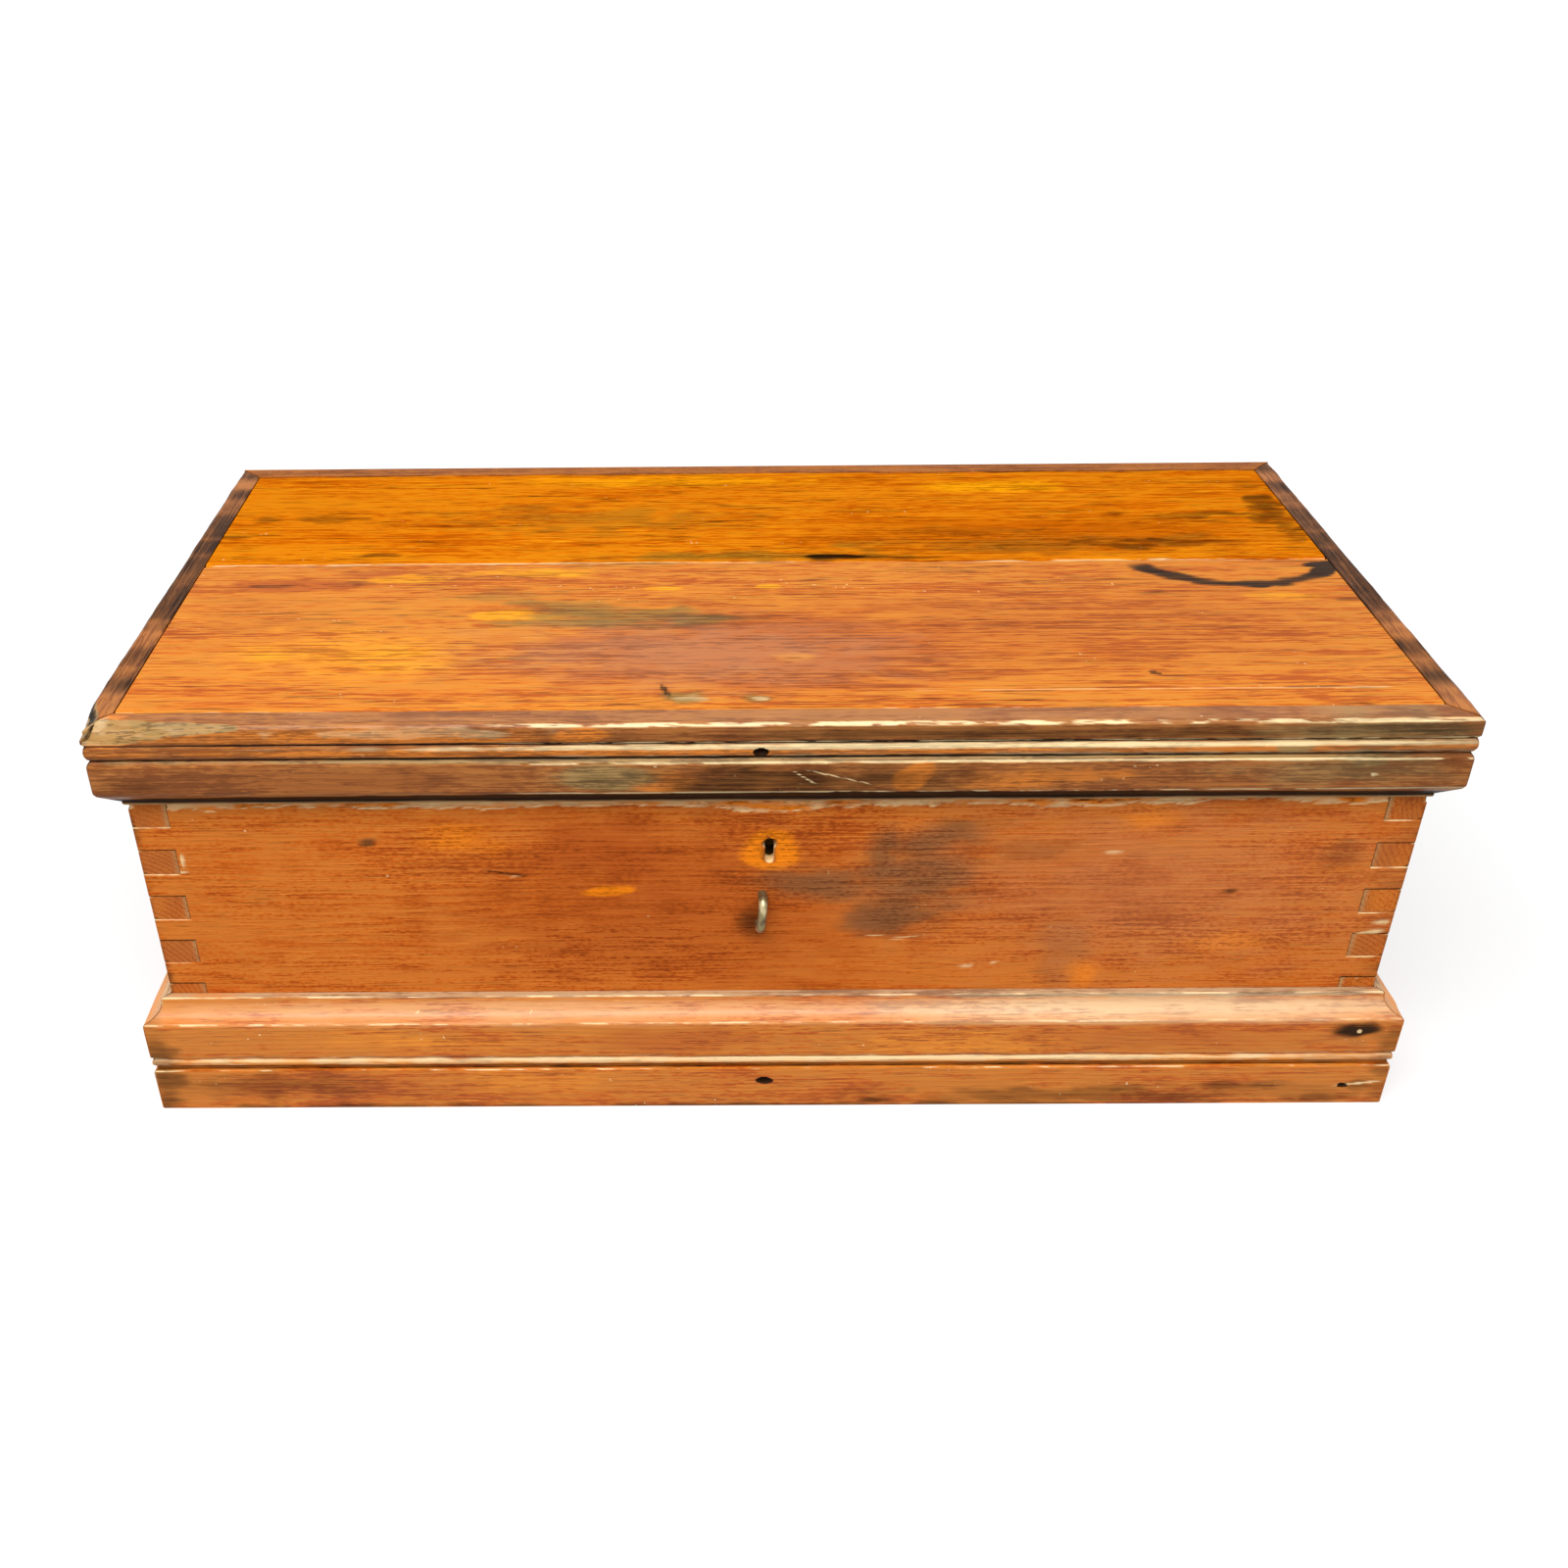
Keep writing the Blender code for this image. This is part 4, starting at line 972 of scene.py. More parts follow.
@dataclass
class Lid:
    """The lid: two long boards inside a moulded rim."""

    arris: float = 2.0
    fascia: float = 13.0
    bead: float = 10.0
    relief: float = 2.5
    fillet: float = 3.0
    chamfer: float = 10.5
    step: float = 2.0
    ledge: float = 5.0
    thickness: float = 16.0
    detail: float = 0.9  # widest gap between the points of the moulding's outline
    board_detail: float = 2.6  # the same for the boards
    hidden_edge: float = 6.0  # height of a board's edge that the rails hide
    pale_from: float = -115.0  # place along the front rim where its palest wear begins
    rail_eased: float = 0.6  # width of the eased edges on the rails
    back_eased: float = 0.8  # the same on the back strip
    board_spots: tuple[Spot, ...] = (
        # Painted sheen on the front board
        *strewn(Mark.HAZE, (-45, -112, 125, 42, 0.45, 0, 0.45, 1.6)),
        *strewn(
            Mark.RUDDY,
            (-10, -105, 140, 60, 0.85, 0, 0.45, 1.6), (210, -75, 190, 80, 0.5, 0, 0.45, 1.6),
            (-330, -60, 60, 60, 0.4, 0, 0.45, 1.6), (190, 60, 170, 36, 0.7, 0, 0.45, 1.4),
            (-310, -13, 52, 9), (-250, 2, 40, 8, 0.8), (-320, 110, 90, 60, 0.35, 0, 0.45, 1.6),
        ),
        *strewn(
            Mark.WARM,
            (330, -38, 26, 8, 0.55, 0, 0.45, 1.2), (-163, -58, 27, 9, 0.68, 0, 0.6),
            (-243, -4, 34, 7, 0.65, 0, 0.7, 1.2), (-140, 4, 55, 8, 0.6, 0, 0.8, 1.4),
            (-66, -21, 11, 3, 1, 0, 0.7), (2, -19, 9, 3, 1, 0, 0.7),
            (-255, -110, 80, 36, 0.55, 0, 0.45, 1.6), (10, -118, 16, 7, 0.5, 0, 0.45, 1.2),
            (-60, 165, 130, 14, 0.6, 0, 0.45, 1.6), (170, 150, 60, 14, 0.7, 0, 0.45, 1.2),
        ),
        *strewn(
            Mark.BLOOM,
            (-20, 28, 90, 10, 0.7, 0, 0.7, 1.8), (-92, -63, 74, 14, 0.75, 0, 0.7, 1.8),
            (-165, -30, 40, 9, 0.5, 0, 0.8, 1.4), (-130, -46, 60, 12, 0.6, -14, 0.8, 1.6),
            (-52, -166, 15, 8, 0.75, 0, 0.7), (-10, -167, 10, 5, 0.75, 0, 0.7),
            (-120, 92, 120, 30, 0.5, 0, 0.8, 1.6), (190, 45, 150, 20, 0.5, 0, 0.8, 1.6),
        ),
        *strewn(
            Mark.SOOT,
            (47, 26, 26, 5, 0.85, 0, 0.8, 1.2), (92, 25, 34, 4, 0.55, 0, 0.8, 1.2),
            (300, -19, 22, 3.5, 0.8, 0, 0.7), (372, 9, 15, 6, 0.8, 0, 0.7), (372, -44, 12, 3, 0.55, 0, 0.7),
            (250, -33, 13, 3, 0.6, 0, 0.8), (222, -140, 5, 2.4, 0.75, -30), (-330, -14, 20, 3, 0.5, 0, 0.8),
            (-262, -10, 16, 3, 0.5, 0, 0.8), (-64, -157, 2.4, 10, 0.75, 20, 0.45, 1.2),
            (-351, 93, 12, 8, 0.5, 0, 0.9, 1.6), (-367, 66, 14, 4, 0.55, 0, 0.9, 1.6),
            (-308, 96, 24, 8, 0.45, 0, 0.9), (-262, 34, 16, 4, 0.55, 0, 0.8),
            (-300, 125, 12, 3, 0.4, 0, 0.9, 1.6), (120, 70, 60, 9, 0.4, 0, 0.9),
            (250, 44, 75, 8, 0.55, 0, 0.9), (310, 95, 60, 8, 0.5, 0, 0.9), (362, 100, 16, 40, 0.55, 0, 0.8),
            (368, 60, 12, 18, 0.5, 0, 0.8),
        ),
        *strewn(
            Mark.PALE,
            (-50, -167, 11, 5, 0.45, 0, 0.8), (-9, -167, 6, 3, 0.6, 0, 0.7),
            (220, -159, 165, 0.5, 0.5, 0, 0.9), (-190, 19.6, 190, 0.7, 0.7), (250, 18, 130, 1.1, 1, 0, 0.3),
        ),
        Arc(Mark.SOOT, (312, 25), (68, 45), 0.85, ragged=0.8, soft=1.3, band=5.0, span=(186.0, 352.0)),
    )
    rim_bands: tuple[Spot, ...] = (
        *strewn(Mark.WARM, (0, 267.6, 440, 3, 0.8, 0, 0.4)),
        # Painted light: a light tan on the fillet under the bead, which faces up
        *strewn(Mark.BLOOM, (0, 261.8, 440, 1.4, 0.75, 0, 0.4)),
        *strewn(
            Mark.SOOT,
            # Painted shade in the quirks above and below the bead
            (0, 273.5, 440, 1.2, 1, 0, 0.2), (0, 263.8, 440, 1, 1, 0, 0.2),
            # Painted shadow on the chamfer under the lid's edge
            (0, 230, 440, 10.2, 1, 0, 0.1, 0.2),
        ),
        # Painted highlights along the bead's crest and the fillet's lower edge, with some raw wood worn
        # there
        *strewn(Mark.PALE, (110, 270.4, 330, 1.7, 0.85, 0, 0.3, 1.4), (130, 260.4, 265, 0.7, 0.8, 0, 0.5)),
    )
    rim_spots: tuple[Spot, ...] = (
        # Painted sheen along the rim's top face
        *strewn(Mark.HAZE, (40, 286, 420, 2.6, 0.14, 0, 0.45, 1.4)),
        *strewn(
            Mark.RUDDY,
            (-260, 249, 120, 12, 0.6), (230, 249, 120, 12, 0.5), (-150, 279, 120, 7, 0.6, 0, 0.45, 1.2),
        ),
        *strewn(
            Mark.WARM,
            (-112, 279, 17, 5), (-65, 248, 22, 7, 0.6), (77, 251, 12, 8, 1, 40),
            (-378, 281, 15, 9, 0.9, 0, 0.3), (-240, 278, 120, 7, 0.7, 0, 0.45, 1.6),
            (150, 249, 44, 8, 0.62, 0, 0.7, 1.6),
        ),
        *strewn(
            Mark.BLOOM,
            (291, 268, 12, 4), (331, 261, 11, 7), (-98, 252, 32, 9, 0.95, 0, 0.45, 1.2),
            (335, 278, 64, 8, 0.75, 0, 0.45, 1.8), (325, 252, 70, 10, 0.6, 0, 0.45, 1.8),
        ),
        *strewn(
            Mark.SOOT,
            (356, 279, 42, 7, 0.5, 0, 0.45, 1.2), (-370, 246, 24, 8, 0.4, 0, 0.45, 1.2),
            (130, 278, 290, 6, 0.6, 0, 0.6, 2), (10, 248, 110, 11, 0.66, 0, 0.6, 2),
            (350, 258, 60, 30, 0.38, 0, 0.6, 1.8),
        ),
        *strewn(
            Mark.PALE,
            (-200, 281, 75, 3.5, 0.38, 0, 0.9), (17, 249, 9, 0.45, 0.8, -34), (40, 249, 20, 0.45, 0.8, -15),
            (-384, 284, 8, 4, 0.4, 0, 0.7), (338, 250, 1.6, 1.4, 1, 0, 0.1),
        ),
    )
    side_spots: tuple[Spot, ...] = (
        *strewn(Mark.WARM, (0, 286, 230, 8, 0.5, 0, 0.6, 1.2)),
        *strewn(
            Mark.SOOT,
            (0, 287, 230, 6, 0.68, 0, 0.9, 1.8), (60, 250, 70, 14, 0.4, 0, 0.9, 1.2),
            (0, 283.4, 230, 2.2, 0.9, 0, 0.6),
        ),
    )
    rim_pits: tuple[Spot, ...] = (
        *strewn(Mark.SOOT, (-9.6, 267.1, 3.6, 2.4, 5)),
    )
    chip: tuple[Splinter, ...] = (Splinter(-393.0, -285.0, 13.0, 11.0),)
    side_chip: tuple[Splinter, ...] = (Splinter(-196.0, -160.0, 9.0, 13.0),)

    def section(self) -> Section:
        """Outline of the moulding: eased arris, fascia, bead over a sloping fillet, lower fascia, chamfer.

        Returns:
            The section.
        """
        low, high = (corner[2] for corner in node_box("lid_rim_front"))
        bead_top = high - self.fascia
        bead_low = bead_top - self.bead
        shoulder = self.thickness - self.ledge
        shown = [(self.thickness, high)]
        shown += arc((self.arris, high - self.arris), (self.arris, self.arris), 90, 180, 4)
        shown += [(0.0, bead_top)]
        shown += arc((self.relief, (bead_top + bead_low) / 2), (self.relief, self.bead / 2), 90, 270)
        edge = low + self.step
        shown += [(0.0, bead_low - self.fillet), (0.0, edge + self.chamfer), (shoulder, edge)]
        return Section.of(shown, [(shoulder, low), (self.thickness, low)], self.detail)

    def board(self, name: str, low_y: float, high_y: float, heart: Triple, seed: int) -> Stock:
        """One of the two lid boards.

        Args:
            name: The board's node.
            low_y, high_y: Its front and back edge.
            heart: Where the tree's heart lies in it.
            seed: Which random fields wear it.

        Returns:
            The stock, not yet built.
        """
        low, high = node_box(name)
        half, hidden = (high_y - low_y) / 2, low[2] + self.hidden_edge
        shown = [(-half, hidden), (-half, high[2]), (half, high[2]), (half, hidden)]
        section = Section.of(shown, [(half, low[2]), (-half, low[2])], self.board_detail)
        _, along, across = Side.FRONT.value
        return Stock(
            name=f"worn_{name}", section=section, origin=(0.0, (low_y + high_y) / 2, 0.0), along=along,
            across=across, half=high[0], view=(0, 1), heart=heart, seed=seed, spots=self.board_spots,
            paleness=0.5,
        )

    def build(self) -> None:
        """Makes the boards and the rim, and dresses the rails that stay as they are."""
        front, rear = node_box("lid_front_board"), node_box("lid_rear_board")
        joint = rear[0][1]
        boards = (
            self.board("lid_front_board", front[0][1], joint - FIT, (140.0, -190.0, 228.0), 11),
            self.board("lid_rear_board", joint, rear[1][1], (-500.0, 250.0, 214.0), 12),
        )
        for board in boards:
            node = board.name.removeprefix("worn_")
            finish = LID_REAR_PINE if node == "lid_rear_board" else SHEENED_LID_FRONT_PINE
            settle(board.build(), "lid", finish.material(Grain.ALONG_X), (node,))
        section = self.section()
        traits = {
            Side.FRONT: {
                "spots": self.rim_bands + self.rim_spots, "pits": self.rim_pits, "splinters": self.chip,
                "worn_from": self.pale_from, "heart": (0.0, -150.0, 330.0), "wear": 0.72, "paleness": 1.0,
            },
            Side.LEFT: {
                "spots": self.rim_bands + self.side_spots, "splinters": self.side_chip,
                "heart": (300.0, 90.0, 330.0), "wear": 0.6, "paleness": 0.25,
            },
            Side.RIGHT: {
                "spots": self.rim_bands + self.side_spots, "heart": (300.0, 180.0, 330.0), "wear": 0.6,
                "paleness": 0.25,
            },
        }
        for number, (side, extra) in enumerate(traits.items()):
            node = f"lid_rim_{side.value[0]}"
            rim = side.stock(node, section, seed=40 + number, **extra)
            settle(rim.build(), "lid", RIM_PINE.material(side.grain), (node,))
        dress("lid_rim_back", BACK_RIM_PINE.material(Grain.ALONG_X), self.back_eased)
        for side in Side:
            dress(f"lid_rail_{side.value[0]}", BARE_PINE.material(side.grain), self.rail_eased)


@dataclass
class Plinth:
    """The moulded skirt that the chest stands on."""

    step: float = 2.0
    cove: float = 11.0
    fascia: float = 28.4
    bead: float = 7.2
    quirk: float = 2.8
    relief: float = 2.5
    ledge: float = 5.0
    thickness: float = 16.0
    detail: float = 1.1  # widest gap between the points of the outline
    bands: tuple[Spot, ...] = (
        # Painted sheen in the cove
        *strewn(
            Mark.HAZE,
            (-150, 75, 330, 6.5, 0.38, 0, 0.15, 1.4), (230, 75, 230, 6.5, 0.66, 0, 0.15, 1.4),
        ),
        *strewn(Mark.WARM, (0, 38.4, 440, 3.4, 0.85, 0, 0.3)),
        *strewn(Mark.BLOOM, (0, 84, 440, 1.2, 0.8, 0, 0.2)),
        # Painted shade in the quirks above and below the bead
        *strewn(Mark.SOOT, (0, 43, 440, 0.7, 0.5, 0, 0.2), (0, 34, 440, 1.2, 0.5, 0, 0.2)),
        # Painted highlight along the bead's crest
        *strewn(Mark.PALE, (0, 40.2, 440, 2.1, 0.8, 0, 0.5, 1.2)),
    )
    spots: tuple[Spot, ...] = (
        *strewn(
            Mark.RUDDY,
            (-60, 56, 60, 12, 0.6, 0, 0.45, 1.2), (-280, 18, 90, 14, 0.5, 0, 0.45, 1.2),
            (250, 56, 110, 12, 0.5, 0, 0.7, 1.6),
        ),
        *strewn(
            Mark.WARM,
            (120, 52, 70, 12, 0.5, 0, 0.45, 1.2), (-230, 56, 70, 10, 0.5, 0, 0.7, 1.6),
            (-150, 20, 60, 12, 0.5, 0, 0.45, 1.4),
        ),
        *strewn(Mark.BLOOM, (250, 83.4, 190, 2.6, 1, 0, 0.4, 1.2)),
        *strewn(
            Mark.SOOT,
            (330, 12, 80, 8, 0.35, 0, 0.9), (366, 61, 16, 6.5, 0.9, 0, 0.6, 1.4),
            (67, 5, 13, 3, 0.7, 0, 0.9, 1.6), (224, 12, 8, 3, 0.6, 0, 0.9, 1.6),
            (152, 5, 11, 2.4, 0.55, 0, 0.9, 1.6), (262, 6, 20, 3, 0.55, 0, 0.9, 1.6),
            (305, 15, 26, 4, 0.55, 0, 0.9, 1.2), (350, 6, 26, 4, 0.55, 0, 0.9, 1.6),
            (378, 14, 10, 8, 0.55, 0, 0.9, 1.2), (-330, 20, 70, 12, 0.45, 0, 0.9, 1.6),
            (200, 8, 140, 8, 0.5, 0, 0.9, 1.6), (0, 0, 420, 3, 0.6, 0, 0.9, 1.6),
            (-390, 30, 14, 40, 0.6, 0, 0.7, 1.6), (392, 40, 12, 40, 0.5, 0, 0.7, 1.6),
        ),
        *strewn(Mark.PALE, (380, 17, 15, 0.9, 1, 8), (370, 61, 1.6, 1.4, 1, 0, 0.1)),
    )
    pits: tuple[Spot, ...] = (
        *strewn(Mark.SOOT, (-4, 22, 4, 2, 3), (369, 15, 3, 1.6, 3)),
    )

    def section(self) -> Section:
        """Outline of the plinth: ledge, step, cove, fascia, bead between quirks, lower fascia.

        Returns:
            The section.
        """
        low, high = (corner[2] for corner in node_box("plinth_front"))
        shoulder = self.thickness - self.ledge
        cove_top = high - self.step
        bead_top = cove_top - self.cove - self.fascia
        bead_low = bead_top - self.bead
        quirk_low = bead_low - self.quirk
        shown = [(self.thickness, high), (shoulder, high)]
        shown += arc((0.0, cove_top), (shoulder, self.cove), 0, -90)
        shown += [(0.0, bead_top)]
        shown += arc((self.relief, (bead_top + bead_low) / 2), (self.relief, self.bead / 2), 90, 270)
        shown += [(self.relief, quirk_low), (0.0, quirk_low), (0.0, low)]
        return Section.of(shown, [(self.thickness, low)], self.detail)

    def build(self) -> None:
        """Makes the four lengths."""
        section = self.section()
        for number, side in enumerate(Side):
            node = f"plinth_{side.value[0]}"
            spots, pits = (self.bands + self.spots, self.pits) if side is Side.FRONT else (self.bands, ())
            long = side.grain is Grain.ALONG_X
            heart = (170.0 * number, -130.0, -60.0) if long else (-330.0, 90.0 * number, -70.0)
            length = side.stock(
                node, section, heart=heart, seed=60 + number, wear=0.45, paleness=0.95, spots=spots,
                pits=pits,
            )
            settle(length.build(), "carcase", PLINTH_PINE.material(side.grain), (node,))


@dataclass
class FingerBoard:
    """A wall board as a slab of cells, with fingers on both ends.

    Lines of the grid lie close together beside the fingers' edges. A cell belongs to the board where it
    lies within the shoulders, or within the tips at the levels that the board owns. The outer face falls
    back at its edges, and its top edge is splintered.
    """

    node: str
    axis: int
    outward: float
    owns_top: bool
    heart: Triple
    seed: int
    spots: tuple[Spot, ...] = ()
    torn_deeper: float = 0.0  # how much deeper the top is torn over the lock
    pitch: float = 17.0  # height of a finger
    step: float = 3.6  # widest gap between grid lines
    layers: int = 6  # cells through the thickness
    beside: tuple[float, ...] = (0.0, 0.5, 1.3, 2.6)  # distances of the close lines from a finger's edge
    wave: Pair = (90.0, 24.0)  # length and height of the waves left by the plane
    wave_depth: float = 0.12  # mean depth of those waves
    torn_band: float = 11.0  # height below the top that gets close lines for the splinters
    torn_high: float = 5.0  # mean height of the torn strip there
    long_tear: Pair = (46.0, 2.8)  # length and height of the long waves in that strip's edge
    short_tear: Pair = (11.0, 2.0)  # the same for the short ones
    splinter: Pair = (12.0, 3.0)  # length and height of the splinters in it
    over_lock: float = 24.0  # how far from the middle the strip is torn deeper
    fleck: Pair = (6.0, 3.0)  # length and height of the flecks in worn places
    handled: float = 9.0  # length at each end that hands have soiled
    low: Array = field(init=False)
    high: Array = field(init=False)

    def __post_init__(self) -> None:
        """Reads the board's place from its node."""
        self.low, self.high = node_box(self.node)

    @property
    def tip(self) -> float:
        """Half the board's length, to the ends of its fingers."""
        return self.high[self.axis]

    @property
    def shoulder(self) -> float:
        """Half the board's length between the roots of its fingers."""
        face = 1 - self.axis
        return self.tip - (self.high[face] - self.low[face]) - FIT

    def lines(self) -> tuple[Array, Array]:
        """Grid lines along the board and up it, with extra ones beside the edges of the fingers.

        Returns:
            The lines along it and the lines up it.
        """
        beside = np.array(self.beside)
        ends = np.concatenate([self.tip - beside, self.shoulder - beside, self.shoulder + beside])
        along = np.concatenate([np.arange(-self.tip, self.tip, self.step), ends, -ends])
        bottom, top = self.low[2], self.high[2]
        edges = np.arange(bottom, top + 1.0, self.pitch)[1:-1, None]
        steps = np.concatenate([FIT / 2 + beside, -FIT / 2 - beside])
        rim = top - np.arange(0.0, self.torn_band, 0.8)
        up = np.concatenate([np.arange(bottom, top, self.step), (edges + steps).ravel(), rim, [bottom]])
        return tuned(along, -self.tip, self.tip), tuned(up, bottom, top)

    def cells(self, along: Array, up: Array) -> Array:
        """Which cells of the grid are wood.

        Args:
            along, up: The grid's lines.

        Returns:
            True for each cell of wood.
        """
        u = np.abs(along[1:] + along[:-1])[:, None] / 2
        v = ((up[1:] + up[:-1]) / 2)[None, :]
        level = (self.high[2] - v) / self.pitch
        mine = (np.floor(level).astype(int) % 2 == 0) == self.owns_top
        off_edge = np.abs(level - np.round(level)) * self.pitch > FIT / 2
        outer = (v > self.high[2] - self.pitch / 2) | (v < self.low[2] + self.pitch / 2)
        return (u < self.shoulder) | (mine & (off_edge | outer) & (u < self.tip))

    def build(self) -> bpy.types.Object:
        """Works out the slab's points, faces and marks.

        Returns:
            The piece.
        """
        along, up = self.lines()
        wood = self.cells(along, up)
        padded = np.pad(wood, 1)
        shifts = [(i, j) for i in (0, 1) for j in (0, 1)]
        touching = sum(padded[i : i + len(along), j : j + len(up)].astype(int) for i, j in shifts)
        used, edge = touching > 0, (touching > 0) & (touching < 4)
        number = np.full(used.shape, -1)
        number[used] = np.arange(used.sum())
        rim_number = np.full(used.shape, -1)
        rim_number[edge] = np.arange(edge.sum())
        u, v = (grid[used] for grid in np.meshgrid(along, up, indexing="ij"))
        on_edge = edge[used]

        # Depth of the outer face: slow waves, eased edges, and a splintered top
        below = self.high[2] - v
        strip = self.torn_high + self.torn_deeper * ease(1.6 - np.abs(u) / self.over_lock)
        for offset, (length, height) in enumerate((self.long_tear, self.short_tear), 1):
            strip = strip + height * rough(u / length, np.zeros_like(u), self.seed + offset)
        torn = ease((strip - below) / 1.2)
        lip = torn * (1.0 - torn) * 4.0
        ragged = rough(u / self.splinter[0], v / self.splinter[1], self.seed + 3)
        depth = self.wave_depth * (1.0 + rough(u / self.wave[0], v / self.wave[1], self.seed))
        depth = depth + on_edge * (0.45 + 0.25 * ragged) + torn * (1.2 + 0.6 * ragged)
        rounded = ease(1.0 - (self.tip - np.abs(u)) / 1.6)
        depth = depth + 0.5 * rounded
        level = np.floor((self.high[2] - v) / self.pitch)
        shy = 0.35 * (1.0 + rough(level * 1.7, np.sign(u) * 3.3, self.seed + 4))
        shy = shy * (np.abs(u) > self.tip - 0.01)
        u_out = u - np.sign(u) * shy

        # Points of the outer face, of the layers round the outline, and of the inner face
        face = 1 - self.axis
        outer = self.low[face] if self.outward < 0 else self.high[face]
        inner = self.high[face] if self.outward < 0 else self.low[face]
        front = self.placed(u_out, outer - self.outward * depth, v)
        back = self.placed(u_out, np.full_like(u, inner), v)
        shares = np.arange(1, self.layers) / self.layers
        between = [front[on_edge] * (1.0 - share) + back[on_edge] * share for share in shares]
        points = np.concatenate([front, *between, back])

        # Marks: painted shade and painted highlight along the fingers' edges, raw wood and dirt in the torn
        # strip, soiled ends
        marks = painted(u, v, self.spots)
        fingers = np.abs(u) > self.shoulder - 0.1
        drop = (self.high[2] - v) % self.pitch
        flecks = rough(u / self.fleck[0], v / self.fleck[1], self.seed + 5)
        # Painted shade under the lower edge of each finger, and a painted highlight on its upper edge
        shaded = fingers * ease(1.6 - (self.pitch - drop) / 0.9) * (0.85 + 0.3 * flecks)
        lit = fingers * ease(1.5 - drop / 0.9) * (0.55 + 0.9 * flecks)
        marks[Mark.SOOT] = np.maximum(marks[Mark.SOOT], shaded)
        cream = np.maximum(torn * (0.42 + 0.7 * ragged), lip * (0.95 + 0.4 * flecks))
        marks[Mark.PALE] = np.maximum.reduce([marks[Mark.PALE], cream, lit])
        marks[Mark.WARM] = np.maximum(marks[Mark.WARM], 0.7 * torn)
        handled = 0.6 * ease((np.abs(u) - self.tip) / self.handled + 1.0) * (0.5 + 0.9 * flecks)
        marks[Mark.SOOT] = np.maximum.reduce([marks[Mark.SOOT], torn * ease(-3.0 * ragged - 1.2), handled])
        middle = np.zeros(len(between) * on_edge.sum())
        tips = np.tile((np.abs(u[on_edge]) > self.tip - 0.5).astype(float), len(between))
        whole = {mark: np.concatenate([values, middle, np.zeros_like(u)]) for mark, values in marks.items()}
        whole[Mark.BARE] = np.concatenate([np.zeros_like(u), 1.0 - tips, np.ones_like(u)])

        faces = self.faces(wood, number, rim_number, used.sum(), edge.sum())
        return make_piece(f"worn_{self.node}", points, faces, whole, self.heart)

    def placed(self, u: Array, w: Array, v: Array) -> Array:
        """Points from their places along the board, across its thickness and up it."""
        columns = (u, w, v) if self.axis == 0 else (w, u, v)
        return np.stack(columns, axis=-1)

    def faces(
        self, wood: Array, number: Array, rim_number: Array, count: int, rim_count: int
    ) -> list[list[int]]:
        """Quads of the two faces, and of the walls between them in several layers.

        Args:
            wood: Which cells are wood.
            number: Number of each used grid point.
            rim_number: Number of each point on the outline.
            count: How many points are used.
            rim_count: How many lie on the outline.

        Returns:
            Corner numbers of each face.
        """
        # The two faces
        i, j = np.nonzero(wood)
        corners = [number[i, j], number[i + 1, j], number[i + 1, j + 1], number[i, j + 1]]
        face = np.stack(corners, axis=1)
        inner_start = count + (self.layers - 1) * rim_count

        # Edges between wood and no wood, from a first point to a last one
        padded = np.pad(wood, 1)
        i, j = np.nonzero(padded[1:-1, 1:] ^ padded[1:-1, :-1])
        flat = (i, j, i + 1, j)
        i, j = np.nonzero(padded[1:, 1:-1] ^ padded[:-1, 1:-1])
        upright = (i, j, i, j + 1)
        first = [np.concatenate(pair) for pair in zip(flat[:2], upright[:2])]
        last = [np.concatenate(pair) for pair in zip(flat[2:], upright[2:])]

        def numbered(at: list[Array], layer: int) -> Array:
            """Numbers of outline points in one layer of the thickness.

            Args:
                at: Their places in the grid.
                layer: The layer, counted from the outer face.

            Returns:
                The numbers.
            """
            if layer == 0:
                return number[at[0], at[1]]
            if layer == self.layers:
                return inner_start + number[at[0], at[1]]
            return count + (layer - 1) * rim_count + rim_number[at[0], at[1]]

        walls = []
        for k in range(self.layers):
            ring = (numbered(first, k), numbered(last, k), numbered(last, k + 1), numbered(first, k + 1))
            walls.append(np.stack(ring, axis=1))
        return np.concatenate([face, face[:, ::-1] + inner_start, *walls]).tolist()


def tuned(lines: Array, low: float, high: float) -> Array:
    """Sorted grid lines inside two limits, without any that nearly coincide.

    Args:
        lines: The lines in any order.
        low, high: The limits.

    Returns:
        The lines that are kept.
    """
    lines = np.unique(np.round(lines[(lines >= low) & (lines <= high)], 3))
    keep = np.concatenate([[True], np.diff(lines) > NEAREST])
    return lines[keep]


def dress(node: str, material: bpy.types.Material, bevel: float) -> None:
    """Gives a CAD node a finish and eased edges.

    Args:
        node: The node's name.
        material: Its finish.
        bevel: Width of the eased edge, mm.
    """
    piece = frame["nodes"][node]
    piece.data.materials.clear()
    piece.data.materials.append(material)
    weld = piece.modifiers.new("weld", "WELD")
    weld.merge_threshold = WELD * MM
    edge = piece.modifiers.new("eased_edges", "BEVEL")
    edge.width = bevel * MM
    edge.segments = 2
    edge.limit_method = "ANGLE"
    edge.angle_limit = math.radians(EASED_EDGE)
    log.info("%s: finish %s", node, material.name)


